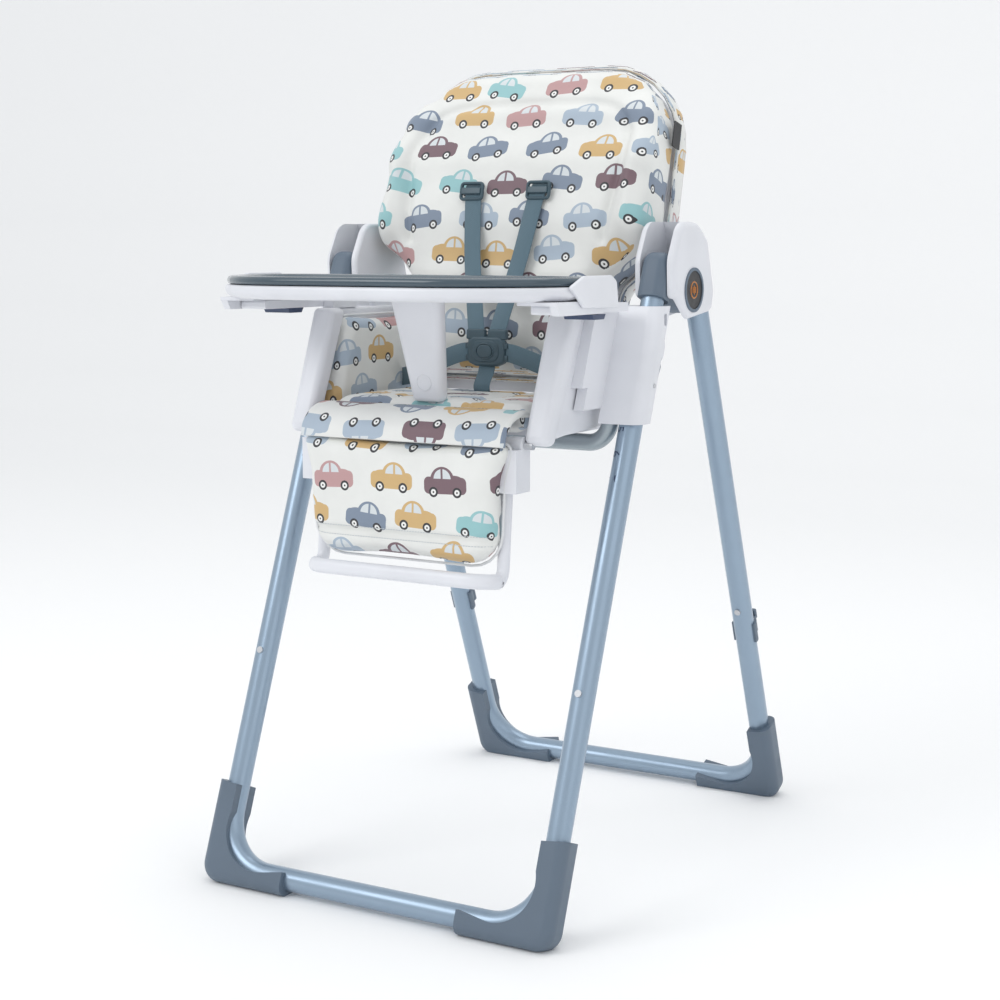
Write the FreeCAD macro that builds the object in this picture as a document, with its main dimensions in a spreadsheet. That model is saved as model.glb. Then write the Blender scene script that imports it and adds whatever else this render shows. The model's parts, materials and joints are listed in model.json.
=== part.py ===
"""Folding baby high chair: a parametric assembly of named pieces, in millimetres.

+Z is up, +X is the child's left and the child faces -Y. The origin is on the floor, under the
middle of the chair. Two U-shaped legs cross at a hub on each side. The seat rides on the front
legs, and the backrest, calf rest, footrest and tray are joined to the seat.
"""
import FreeCAD, Part
import math
import os

import Sketcher
from FreeCAD import Placement, Rotation, Vector

doc = FreeCAD.newDocument("high_chair")
sheet = doc.addObject("Spreadsheet::Sheet", "Sizes")


# ---------------------------------------------------------------- sizes that know their formula
class Size:
    """A number together with the spreadsheet formula that gives it."""

    def __init__(self, number, formula):
        self.number, self.formula = number, formula

    def join(self, other, sign, result):
        return Size(result, f"({self.formula} {sign} {as_size(other).formula})")

    def __add__(self, other):
        return self.join(other, "+", self.number + float(other))

    def __radd__(self, other):
        return as_size(other) + self

    def __sub__(self, other):
        return self.join(other, "-", self.number - float(other))

    def __rsub__(self, other):
        return as_size(other) - self

    def __mul__(self, other):
        return self.join(other, "*", self.number * float(other))

    def __rmul__(self, other):
        return as_size(other) * self

    def __truediv__(self, other):
        return self.join(other, "/", self.number / float(other))

    def __neg__(self):
        return Size(-self.number, f"(0 - {self.formula})")

    def __float__(self):
        return self.number


def as_size(item):
    return item if isinstance(item, Size) else Size(float(item), f"({float(item)})")


def sin(angle):
    return Size(math.sin(math.radians(float(angle))), f"sin({as_size(angle).formula})")


def cos(angle):
    return Size(math.cos(math.radians(float(angle))), f"cos({as_size(angle).formula})")


class Dims:
    """Reads each alias of the sheet as a Size."""

    def __init__(self, table):
        for row, (alias, number) in enumerate(table.items(), start=1):
            sheet.set(f"A{row}", alias)
            sheet.set(f"B{row}", str(number))
            sheet.setAlias(f"B{row}", alias)
            setattr(self, alias, Size(float(number), f"Sizes.{alias}"))


d = Dims({
    # frame
    "base_width": 530, "pivot_height": 780, "front_tilt": 21.06, "rear_tilt": 21.8,
    "pivot_offset": 57.5, "tube_radius": 15, "tube_wall": 1.6, "bend_radius": 75,
    "bar_height": 19, "boot_wall": 7, "boot_up": 112, "boot_along": 132, "boot_corner": 26,
    "seam_run": 304, "spigot_length": 40, "button_radius": 4.5, "button_drop": 14,
    "hub_half": 18, "hub_round": 13, "hub_below": 34, "hub_above": 28, "hub_web": 28,
    "pivot_pin_radius": 6,
    "cheek_gap": 1, "cheek_thickness": 8.5, "badge_radius": 29, "badge_rim": 4, "badge_depth": 2,
    "hook_height": 275, "running_gap": 0.05, "sliding_gap": 0.35,
    # seat carriage
    "carrier_drop": 19, "carrier_height": 146, "carrier_half": 21, "carrier_inner": 36,
    "carrier_outer": 23, "lever_pin_radius": 2, "bracket_reach": 80, "shell_outer": 190, "shell_wall": 10,
    "shell_lip": 29, "shell_front": 197, "shell_back": -24, "shell_top": 26,
    "seat_half": 146, "seat_front": 229, "seat_back": 32, "seat_drop": 146, "seat_thickness": 20,
    "pan_thickness": 12, "side_pad_thickness": 20, "under_tube_radius": 11, "under_tube_ahead": 128,
    "rail_inner": 196, "rail_width": 38, "rail_height": 11, "rail_top": 13, "rail_front": 302,
    "rail_back": 118,
    # backrest
    "recline_lean": 13, "back_hinge_y": 4, "back_hinge_drop": 135, "back_height": 450,
    "back_half": 212, "back_low_half": 152, "back_low_height": 165, "back_corner": 112,
    "back_pad_thickness": 82, "back_shell_thickness": 28,
    "recline_pin_radius": 4, "recline_pin_grip": 6,
    # harness
    "strap_width": 25, "strap_thickness": 2, "buckle_width": 58, "buckle_height": 40,
    "buckle_thickness": 14, "buckle_y": -70, "buckle_drop": 84, "button_half": 11,
    # calf rest and footrest
    "calf_hinge_y": -252, "calf_hinge_drop": 186, "calf_low_half": 146, "calf_top_half": 158,
    "calf_length": 152, "calf_thickness": 11, "calf_core": 27, "calf_board": 7,
    "foot_half": 136, "foot_tube": 8, "foot_drop": 170,
    "foot_lean": 5, "foot_corner": 30, "foot_arm_top": 13, "foot_back": 3, "foot_reach": 37,
    "foot_knee": 14, "calf_pin_radius": 5, "calf_pin_length": 12,
    # tray
    "tray_reach": 412, "tray_depth": 215, "tray_half": 250, "tray_front_corner": 149,
    "tray_rear_corner": 64, "tray_rim": 17, "tray_lift": 9, "tray_skin": 4, "insert_rim": 11,
    "insert_skin": 3, "post_top_half": 38, "post_low_half": 23.5,
    "post_thickness": 22, "wing_thickness": 5.5,
})

# ---------------------------------------------------------------- places worked out from the sizes
leg_x = d.base_width / 2 - d.boot_wall - d.tube_radius
boot_radius = d.tube_radius + d.boot_wall
rise = d.pivot_height - d.bar_height
front_run = (rise + d.pivot_offset * sin(d.front_tilt)) / cos(d.front_tilt)
rear_run = (rise + d.pivot_offset * sin(d.rear_tilt)) / cos(d.rear_tilt)
front_step = front_run * sin(d.front_tilt) + d.pivot_offset * cos(d.front_tilt)
rear_step = rear_run * sin(d.rear_tilt) + d.pivot_offset * cos(d.rear_tilt)
boot_reach = boot_radius * (0.3 * (cos(d.rear_tilt) + sin(d.rear_tilt)) + 0.7)
pivot_y = (d.tray_reach - rear_step - boot_reach) / 2


class Frame:
    """A place that pieces are drawn in: an origin and a turn about X."""

    def __init__(self, y, z, turn=0.0):
        self.y, self.z, self.turn = as_size(y), as_size(z), as_size(turn)

    def place(self, thing):
        thing.Placement = Placement(Vector(0, 0, 0), Rotation(Vector(1, 0, 0), 1))
        thing.setExpression("Placement.Base.y", self.y.formula)
        thing.setExpression("Placement.Base.z", self.z.formula)
        thing.setExpression("Placement.Rotation.Angle", self.turn.formula)

    def placement(self):
        return Placement(Vector(0, float(self.y), float(self.z)),
                         Rotation(Vector(1, 0, 0), float(self.turn)))

    def local(self, y, z):
        """Level distances from this frame's origin, as its own y and z."""
        y, z = as_size(y), as_size(z)
        return (y * cos(self.turn) + z * sin(self.turn), z * cos(self.turn) - y * sin(self.turn))


level = Frame(pivot_y, d.pivot_height)
front = Frame(pivot_y - front_step, d.bar_height, -d.front_tilt)
rear = Frame(pivot_y + rear_step, d.bar_height, d.rear_tilt)
front_hub = Frame(pivot_y, d.pivot_height, -d.front_tilt)
rear_hub = Frame(pivot_y, d.pivot_height, d.rear_tilt)
back = Frame(pivot_y + d.back_hinge_y, d.pivot_height - d.back_hinge_drop, -d.recline_lean)
calf = Frame(pivot_y + d.calf_hinge_y, d.pivot_height - d.calf_hinge_drop)
foot = Frame(pivot_y + d.calf_hinge_y, d.pivot_height - d.calf_hinge_drop, -d.foot_lean)

recline_pin_y = d.back_shell_thickness / 2
recline_axis = (d.back_hinge_y + recline_pin_y * cos(d.recline_lean),
                  -d.back_hinge_drop - recline_pin_y * sin(d.recline_lean))

sub_parts = []


# ---------------------------------------------------------------- drawing helpers
def new_body(label, frame):
    body = doc.addObject("PartDesign::Body", label)
    body.Label = label
    frame.place(body)
    sub_parts.append(body)
    return body


def new_sketch(body, plane, start=0):
    """A sketch on one of the body's planes, moved along the plane's normal to start."""
    sketch = body.newObject("Sketcher::SketchObject", f"{body.Label}_sketch")
    origin = [item for item in body.Origin.OriginFeatures if item.Role == plane][0]
    sketch.AttachmentSupport = [(origin, "")]
    sketch.MapMode = "FlatFace"
    offset = -as_size(start) if plane == "XZ_Plane" else as_size(start)
    sketch.setExpression("AttachmentOffset.Base.z", offset.formula)
    return sketch


def tie(sketch, kind, *terms):
    """Add a constraint whose last term is a Size, and bind it to that size's formula."""
    index = sketch.addConstraint(Sketcher.Constraint(kind, *terms[:-1], float(terms[-1])))
    sketch.setExpression(f"Constraints[{index}]", as_size(terms[-1]).formula)


def fix_point(sketch, geometry, end, x, y):
    tie(sketch, "DistanceX", geometry, end, x)
    tie(sketch, "DistanceY", geometry, end, y)


def draw_circle(sketch, x, y, radius):
    centre = Vector(float(x), float(y), 0)
    index = sketch.addGeometry(Part.Circle(centre, Vector(0, 0, 1), float(radius)), False)
    fix_point(sketch, index, 3, x, y)
    tie(sketch, "Radius", index, radius)


def draw_polygon(sketch, corners):
    """A closed outline of straight sides; each corner is (x, y) or, rounded, (x, y, radius)."""
    spots = [Vector(float(c[0]), float(c[1]), 0) for c in corners]
    count = len(corners)
    cuts = []
    for i, corner in enumerate(corners):
        before = (spots[i - 1] - spots[i]).normalize()
        after = (spots[(i + 1) % count] - spots[i]).normalize()
        if len(corner) < 3:
            cuts.append(None)
            continue
        half = before.getAngle(after) / 2
        reach, radius = float(corner[2]) / math.tan(half), float(corner[2])
        centre = spots[i] + (before + after).normalize() * (radius / math.sin(half))
        middle = centre + (spots[i] - centre).normalize() * radius
        cuts.append((spots[i] + before * reach, middle, spots[i] + after * reach))
    lines = []
    for i in range(count):
        start = cuts[i][2] if cuts[i] else spots[i]
        stop = cuts[(i + 1) % count][0] if cuts[(i + 1) % count] else spots[(i + 1) % count]
        lines.append(sketch.addGeometry(Part.LineSegment(start, stop), False))
    for i, corner in enumerate(corners):
        into, out = lines[i - 1], lines[i]
        if cuts[i] is None:
            sketch.addConstraint(Sketcher.Constraint("Coincident", into, 2, out, 1))
            fix_point(sketch, out, 1, corner[0], corner[1])
            continue
        arc_shape = Part.Arc(*cuts[i])
        arc = sketch.addGeometry(arc_shape, False)
        starts_first = sketch.getPoint(arc, 1).distanceToPoint(cuts[i][0]) < 1e-4
        first, last = (1, 2) if starts_first else (2, 1)
        sketch.addConstraint(Sketcher.Constraint("Tangent", into, 2, arc, first))
        sketch.addConstraint(Sketcher.Constraint("Tangent", arc, last, out, 1))
        point = sketch.addGeometry(Part.Point(spots[i]), True)
        fix_point(sketch, point, 1, corner[0], corner[1])
        sketch.addConstraint(Sketcher.Constraint("PointOnObject", point, 1, into))
        sketch.addConstraint(Sketcher.Constraint("PointOnObject", point, 1, out))
        tie(sketch, "Radius", arc, corner[2])


def draw_rectangle(sketch, x0, x1, y0, y1, radius=None):
    extra = () if radius is None else (radius,)
    draw_polygon(sketch, [(x0, y0) + extra, (x1, y0) + extra, (x1, y1) + extra, (x0, y1) + extra])


def grow(body, sketch, length, kind="PartDesign::Pad"):
    """Pad or pocket a sketch along +normal by length (on the XZ plane, along +Y)."""
    feature = body.newObject(kind, f"{body.Label}_{kind[12:]}")
    feature.Profile = sketch
    feature.setExpression("Length", as_size(length).formula)
    on_xz = "XZ" in sketch.AttachmentSupport[0][0].Name
    forwards = kind.endswith("Pad") != on_xz
    feature.Reversed = not forwards
    doc.recompute()
    return feature


def carve(body, sketch, length):
    """Cut a sketch's outline out of the body, along +normal, and make sure that it cut."""
    before = body.Shape.Volume
    feature = grow(body, sketch, length, "PartDesign::Pocket")
    if body.Shape.Volume > before - 1e-3:
        raise RuntimeError(f"{body.Label}: a pocket cut nothing")
    return feature


def round_off(body, radius, pick):
    """Fillet the body's edges for which pick(edge) is true."""
    doc.recompute()
    base = body.Tip
    names = [f"Edge{i + 1}" for i, edge in enumerate(base.Shape.Edges) if pick(edge)]
    if not names:
        raise RuntimeError(f"{body.Label}: no edge to round")
    fillet = body.newObject("PartDesign::Fillet", f"{body.Label}_fillet")
    fillet.Base = (base, names)
    fillet.setExpression("Radius", as_size(radius).formula)
    doc.recompute()
    if "Invalid" in fillet.State:
        raise RuntimeError(f"{body.Label}: a fillet of {float(radius)} failed")
    return fillet


def runs_along(edge, axis):
    """True for a straight edge along axis, given as a Vector."""
    if len(edge.Vertexes) < 2 or edge.Curve.TypeId != "Part::GeomLine":
        return False
    return edge.tangentAt(edge.FirstParameter).cross(axis).Length < 1e-3


def plate(label, frame, plane, corners, start, length):
    """A flat piece: an outline on a plane, from start, grown by length."""
    body = new_body(label, frame)
    sketch = new_sketch(body, plane, start)
    draw_polygon(sketch, corners)
    grow(body, sketch, length)
    return body


def box_corners(x0, x1, y0, y1, radius=None):
    extra = () if radius is None else (radius,)
    return [(x0, y0) + extra, (x1, y0) + extra, (x1, y1) + extra, (x0, y1) + extra]


def span(side, near, far):
    """Where a piece between near and far from the middle starts on X, and its width."""
    return (near if side > 0 else -as_size(far)), far - as_size(near)


def solids(label, frame, shapes):
    """A sub-part of one or more plain shapes, drawn in a frame's own coordinates."""
    thing = doc.addObject("Part::Feature", label)
    thing.Label = label
    thing.Shape = Part.makeCompound(shapes)
    thing.Placement = frame.placement()
    sub_parts.append(thing)
    return thing


def cylinder(radius, length, base, axis):
    return Part.makeCylinder(float(radius), float(length), Vector(*[float(b) for b in base]),
                             Vector(*axis))


def strip(low, high, width, thickness):
    """A flat strap between two points, its width kept level with X as far as it can be."""
    run = (high - low).normalize()
    across = (Vector(1, 0, 0) - run * run.x).normalize()
    normal = run.cross(across)
    turn = Rotation(across, normal, run, "ZXY")
    shape = Part.makeBox(width, thickness, (high - low).Length,
                         Vector(-width / 2, -thickness / 2, 0))
    shape.Placement = Placement(low, turn)
    return shape


def block(x0, x1, y0, y1, z0, z1):
    x0, x1, y0, y1, z0, z1 = [float(v) for v in (x0, x1, y0, y1, z0, z1)]
    return Part.makeBox(x1 - x0, y1 - y0, z1 - z0, Vector(x0, y0, z0))


SIDES = (("left", 1), ("right", -1))


# ---------------------------------------------------------------- tubes of the frame
def u_tube(label, frame):
    """The bent lower tube: a floor bar and the two legs up to the seam."""
    body = new_body(label, frame)
    path = new_sketch(body, "XZ_Plane")
    corner, bend = as_size(0), d.bend_radius
    spots = [(-leg_x, d.seam_run), (-leg_x, bend), (bend - leg_x, corner),
             (leg_x - bend, corner), (leg_x, bend), (leg_x, d.seam_run)]
    for i in (0, 2, 4):
        start, stop = [Vector(float(x), float(z), 0) for x, z in spots[i:i + 2]]
        path.addGeometry(Part.LineSegment(start, stop), False)
        fix_point(path, i // 2, 1, *spots[i])
        fix_point(path, i // 2, 2, *spots[i + 1])
    for side, line, turn in ((-1, 0, (180, 270)), (1, 1, (270, 360))):
        centre = Vector(side * float(leg_x - bend), float(bend), 0)
        circle = Part.Circle(centre, Vector(0, 0, 1), float(bend))
        arc = path.addGeometry(Part.ArcOfCircle(circle, *[math.radians(a) for a in turn]), False)
        path.addConstraint(Sketcher.Constraint("Coincident", line, 2, arc, 1))
        path.addConstraint(Sketcher.Constraint("Coincident", arc, 2, line + 1, 1))
        tie(path, "Radius", arc, bend)
    ring = new_sketch(body, "XY_Plane", d.seam_run)
    draw_circle(ring, -leg_x, 0, d.tube_radius)
    draw_circle(ring, -leg_x, 0, d.tube_radius - d.tube_wall)
    pipe = body.newObject("PartDesign::AdditivePipe", f"{label}_pipe")
    pipe.Profile = ring
    pipe.Spine = (path, [])
    doc.recompute()


def leg_tube(label, frame, side, top):
    """The straight upper tube, with a necked spigot that goes down into the bent tube."""
    body = new_body(label, frame)
    body.setExpression("Placement.Base.x", (side * leg_x).formula)
    half = new_sketch(body, "XZ_Plane")
    outer, inner = d.tube_radius, d.tube_radius - d.tube_wall
    neck, throat = inner - d.running_gap, inner - d.tube_wall
    low, shelf = d.seam_run - d.spigot_length, d.seam_run + d.tube_wall
    draw_polygon(half, [(throat, low), (neck, low), (neck, d.seam_run), (outer, d.seam_run),
                        (outer, top), (inner, top), (inner, shelf), (throat, shelf)])
    turn = body.newObject("PartDesign::Revolution", f"{label}_turn")
    turn.Profile = half
    turn.ReferenceAxis = (half, ["V_Axis"])
    turn.Angle = 360
    doc.recompute()


def snap_buttons(label, frame, drop):
    """The sprung studs by the leg seams, standing proud of the front of each tube."""
    shapes = []
    for _, side in SIDES:
        x, z = side * leg_x, d.seam_run - drop
        proud = d.tube_radius + 2
        stud = cylinder(d.button_radius, proud, (x, 0, z), (0, -1, 0))
        tube = cylinder(d.tube_radius, 40, (x, 0, z - 20), (0, 0, 1))
        shapes.append(stud.cut(tube))
    solids(label, frame, shapes)


def boot(label, frame, side):
    """A moulded corner guard: it wraps the outside of the bend and is flat underneath."""
    out, up, along = float(d.base_width / 2), float(d.boot_up), float(d.boot_along)
    r, tube, bend = float(boot_radius), float(d.tube_radius), float(d.bend_radius)
    axis_x, corner = float(leg_x), float(d.boot_corner)
    inner = axis_x - tube * 0.8
    outline = [Vector(out, 0, up), Vector(out, 0, corner - r), Vector(out - corner, 0, -r),
               Vector(along, 0, -r), Vector(along, 0, tube * 0.55), Vector(axis_x - bend, 0, 2),
               Vector(inner, 0, bend * 0.95), Vector(inner, 0, up - 4)]
    turn = math.sqrt(0.5)
    nose = Vector(out - corner + corner * turn, 0, corner - r - corner * turn)
    hollow = Vector(axis_x - bend + bend * 0.72, 0, bend * 0.30)
    edges = [Part.LineSegment(outline[0], outline[1]), Part.Arc(outline[1], nose, outline[2]),
             Part.LineSegment(outline[2], outline[3]), Part.LineSegment(outline[3], outline[4]),
             Part.LineSegment(outline[4], outline[5]), Part.Arc(outline[5], hollow, outline[6]),
             Part.LineSegment(outline[6], outline[7]), Part.LineSegment(outline[7], outline[0])]
    face = Part.Face(Part.Wire([edge.toShape() for edge in edges]))
    face.translate(Vector(0, -r, 0))
    guard = face.extrude(Vector(0, 2 * r, 0))
    rim = [edge for edge in guard.Edges
           if abs(abs(edge.CenterOfMass.y) - r) < 1e-3 and edge.CenterOfMass.z < up - 5 and
           (edge.CenterOfMass.x > out - corner / 2 or edge.CenterOfMass.z < corner / 2 - r)]
    guard = guard.makeFillet(r * 0.7, rim)
    path = Part.Wire([
        Part.LineSegment(Vector(axis_x, 0, up + 30), Vector(axis_x, 0, bend)).toShape(),
        Part.Arc(Vector(axis_x, 0, bend), Vector(axis_x - bend * (1 - turn), 0, bend * (1 - turn)),
                 Vector(axis_x - bend, 0, 0)).toShape(),
        Part.LineSegment(Vector(axis_x - bend, 0, 0), Vector(along - 30, 0, 0)).toShape()])
    section = Part.Wire([Part.Circle(Vector(axis_x, 0, up + 30), Vector(0, 0, 1), tube).toShape()])
    guard = guard.cut(path.makePipeShell([section], True, False))
    if side < 0:
        guard = guard.mirror(Vector(0, 0, 0), Vector(1, 0, 0))
    floor = block(-400, 400, -400, 400, -400, 0)
    floor.Placement = frame.placement().inverse().multiply(
        Placement(Vector(0, float(frame.y), 0), Rotation()))
    solids(label, frame, [guard.cut(floor)])


def build_frame():
    u_tube("front_base_tube", front)
    u_tube("rear_base_tube", rear)
    for name, side in SIDES:
        leg_tube(f"front_leg_tube_{name}", front, side, front_run + 10)
        leg_tube(f"rear_leg_tube_{name}", rear, side, rear_run + 14)
        boot(f"front_boot_{name}", front, side)
        boot(f"rear_boot_{name}", rear, side)
    snap_buttons("front_snap_buttons", front, d.button_drop)
    snap_buttons("rear_snap_buttons", rear, -d.button_drop)


# ---------------------------------------------------------------- hubs
def front_hub_socket(label, side):
    """The slate socket on the front leg's top, with the tongue that the pivot pin goes through."""
    body = new_body(label, front_hub)
    low, high = leg_x - d.hub_half, leg_x + d.hub_half
    start, width = span(side, low, high)
    n0, n1 = -d.pivot_offset - d.hub_half - 1, -d.pivot_offset + d.hub_half + 1
    socket = new_sketch(body, "YZ_Plane", start)
    draw_polygon(socket, [(n0, -d.hub_below), (n1, -d.hub_below), (n1, d.hub_above, 16),
                          (n0, d.hub_above, 16)])
    grow(body, socket, width)
    round_off(body, d.hub_round, lambda e: runs_along(e, Vector(0, 0, 1)))
    web = new_sketch(body, "YZ_Plane", start)
    draw_polygon(web, [(n1 - 8, -20), (0, -d.hub_web, 12), (d.hub_web, -d.hub_web, 20),
                       (d.hub_web, d.hub_web, 20), (0, d.hub_web, 12), (n1 - 8, 20)])
    grow(body, web, width)
    leg = new_sketch(body, "XY_Plane", -d.hub_below)
    draw_circle(leg, side * leg_x, -d.pivot_offset, d.tube_radius)
    carve(body, leg, d.hub_below + 10)
    pin = new_sketch(body, "YZ_Plane", start)
    draw_circle(pin, 0, 0, d.pivot_pin_radius)
    carve(body, pin, width)


def hub_cover(label, side):
    """The white cover on the rear leg's top: two cheeks that clasp the front hub."""
    body = new_body(label, rear_hub)
    low = leg_x - d.hub_half - d.cheek_gap - d.cheek_thickness
    high = leg_x + d.hub_half + d.cheek_gap + d.cheek_thickness
    start, width = span(side, low, high)
    outline = [(-64, -9, 8), (-66, 40, 30), (-40, 88, 28), (20, 88, 38), (50, 66, 24),
               (72, -2, 14), (66, -30, 10), (-10, -39, 22), (-46, -11, 8)]
    shape = new_sketch(body, "YZ_Plane", start)
    draw_polygon(shape, [rear_hub.local(y, z) + (radius,) for y, z, radius in outline])
    grow(body, shape, width)
    outer, inner = side * float(high), side * float(low)
    round_off(body, 11, lambda e: abs(e.CenterOfMass.x - outer) < 1e-3)
    round_off(body, 5, lambda e: abs(e.CenterOfMass.x - inner) < 1e-3)
    gap_start, gap = span(side, low + d.cheek_thickness, high - d.cheek_thickness)
    slot = new_sketch(body, "YZ_Plane", gap_start)
    draw_rectangle(slot, -150, d.pivot_offset - d.hub_half - 3, -150, 150)
    carve(body, slot, gap)
    leg = new_sketch(body, "XY_Plane", -80)
    draw_circle(leg, side * leg_x, d.pivot_offset, d.tube_radius)
    carve(body, leg, 94)
    pin = new_sketch(body, "YZ_Plane", start)
    draw_circle(pin, 0, 0, d.pivot_pin_radius + d.running_gap)
    carve(body, pin, width)
    face_start, depth = span(side, high - d.badge_depth, high)
    seat = new_sketch(body, "YZ_Plane", face_start)
    draw_circle(seat, 0, 0, d.badge_radius)
    carve(body, seat, depth)


def hub_small_parts():
    """Pivot pins, and the round badges that hide them."""
    reach = float(d.hub_half + d.cheek_gap + d.cheek_thickness - d.badge_depth) - 0.5
    x = float(leg_x)
    pins = [cylinder(d.pivot_pin_radius, 2 * reach, (side * x - reach, 0, 0), (1, 0, 0))
            for _, side in SIDES]
    solids("pivot_pins", front_hub, pins)
    floor = x + float(d.hub_half + d.cheek_gap + d.cheek_thickness - d.badge_depth)
    rings, discs = [], []
    for _, side in SIDES:
        base, axis = (side * floor, 0, 0), (side, 0, 0)
        disc = cylinder(d.badge_radius - d.badge_rim, d.badge_depth + 0.5, base, axis)
        ring = cylinder(d.badge_radius, d.badge_depth + 1.5, base, axis)
        rings.append(ring.cut(cylinder(d.badge_radius - d.badge_rim, 10, base, axis)))
        discs.append(disc)
    solids("badge_rings", rear_hub, rings)
    solids("badge_discs", rear_hub, discs)


def tray_hooks():
    """Pegs behind the rear legs, where the tray hangs when it is off the chair."""
    run = (d.hook_height - d.bar_height) / cos(d.rear_tilt)
    shapes = []
    for _, side in SIDES:
        x, tube = float(side * leg_x), float(d.tube_radius)
        clip = cylinder(tube + 3, 30, (x, 0, run - 15), (0, 0, 1))
        peg = block(x - 9, x + 9, 0, tube + 14, run - 13, run + 13)
        peg = peg.makeFillet(5, [e for e in peg.Edges if e.CenterOfMass.y > tube + 13])
        lip = block(x - 9, x + 9, tube + 9, tube + 16, run + 6, run + 22)
        lip = lip.makeFillet(2.5, lip.Edges)
        leg = cylinder(tube, 200, (x, 0, run - 100), (0, 0, 1))
        front_half = block(x - 50, x + 50, -50, -4, run - 50, run + 50)
        shapes.append(clip.fuse([peg, lip]).cut(leg).cut(front_half))
    solids("tray_hooks", rear, shapes)


def build_hubs():
    for name, side in SIDES:
        front_hub_socket(f"front_hub_{name}", side)
        hub_cover(f"hub_cover_{name}", side)
    hub_small_parts()
    tray_hooks()


# ---------------------------------------------------------------- seat carriage
def along_leg(ahead, z):
    """A level point at height z, a set distance ahead of the front leg's centre line."""
    y = z * sin(d.front_tilt) / cos(d.front_tilt)
    return (y - (d.pivot_offset + ahead) / cos(d.front_tilt), z)


def carrier(label, side):
    """The sleeve that slides on the front leg, with the bracket that holds the seat."""
    body = new_body(label, level)
    top, low = -d.carrier_drop, -d.carrier_drop - d.carrier_height
    start, width = span(side, leg_x - d.carrier_inner, leg_x + d.carrier_outer)
    sleeve = new_sketch(body, "YZ_Plane", start)
    draw_polygon(sleeve, [along_leg(d.carrier_half, low), along_leg(-d.carrier_half, low),
                          along_leg(-d.carrier_half, top), along_leg(d.carrier_half, top)])
    grow(body, sleeve, width)
    leg_line = Vector(0, math.sin(math.radians(float(d.front_tilt))),
                      math.cos(math.radians(float(d.front_tilt))))
    outer = side * float(leg_x + d.carrier_outer)
    round_off(body, 18, lambda e: runs_along(e, leg_line) and abs(e.CenterOfMass.x - outer) < 1)
    bracket_start, bracket = span(side, d.shell_outer, leg_x - d.carrier_inner + 1)
    arm = new_sketch(body, "YZ_Plane", bracket_start)
    draw_polygon(arm, [along_leg(d.bracket_reach, -118), along_leg(0, -118),
                       along_leg(0, -d.shell_top), along_leg(d.bracket_reach, -d.shell_top)])
    grow(body, arm, bracket)
    foot_start, foot_width = span(side, d.shell_outer + 4, leg_x - d.carrier_inner + 1)
    step = new_sketch(body, "YZ_Plane", foot_start)
    draw_polygon(step, [along_leg(d.bracket_reach - 14, -146), along_leg(0, -146),
                        along_leg(0, -117), along_leg(d.bracket_reach - 14, -117)])
    grow(body, step, foot_width)
    ear_start, ear_width = span(side, leg_x - 12, leg_x + 12)
    ear = new_sketch(body, "YZ_Plane", ear_start)
    draw_polygon(ear, [along_leg(-d.carrier_half + 2, -106), along_leg(-d.carrier_half - 13, -84),
                       along_leg(-d.carrier_half - 13, -70), along_leg(-d.carrier_half + 2, -48)])
    grow(body, ear, ear_width)
    slot_start, slot_width = span(side, leg_x - 8, leg_x + 8)
    slot = new_sketch(body, "YZ_Plane", slot_start)
    draw_polygon(slot, [along_leg(-d.carrier_half + 1, -110), along_leg(-d.carrier_half - 30, -110),
                        along_leg(-d.carrier_half - 30, -78), along_leg(-d.carrier_half + 1, -78)])
    carve(body, slot, slot_width)
    pin_start, pin_length = span(side, leg_x - 12, leg_x + 12)
    hole = new_sketch(body, "YZ_Plane", pin_start)
    draw_circle(hole, *lever_axis(), d.lever_pin_radius)
    carve(body, hole, pin_length)
    bore = new_sketch(body, "XY_Plane", -260)
    bore.AttachmentOffset = Placement(Vector(0, 0, 0), Rotation(Vector(1, 0, 0), 1))
    bore.setExpression("AttachmentOffset.Rotation.Angle", (-d.front_tilt).formula)
    y, z = along_leg(0, as_size(-260))
    bore.setExpression("AttachmentOffset.Base.y", y.formula)
    draw_circle(bore, side * leg_x, 0, d.tube_radius + d.sliding_gap)
    carve(body, bore, 330)
    window_start, depth = span(side, leg_x + d.tube_radius - 2, leg_x + d.carrier_outer + 1)
    window = new_sketch(body, "YZ_Plane", window_start)
    y, z = along_leg(0, as_size(-d.carrier_drop - 17))
    draw_rectangle(window, y - 4, y + 4, z - 8, z + 8, 3.9)
    carve(body, window, depth)


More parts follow.
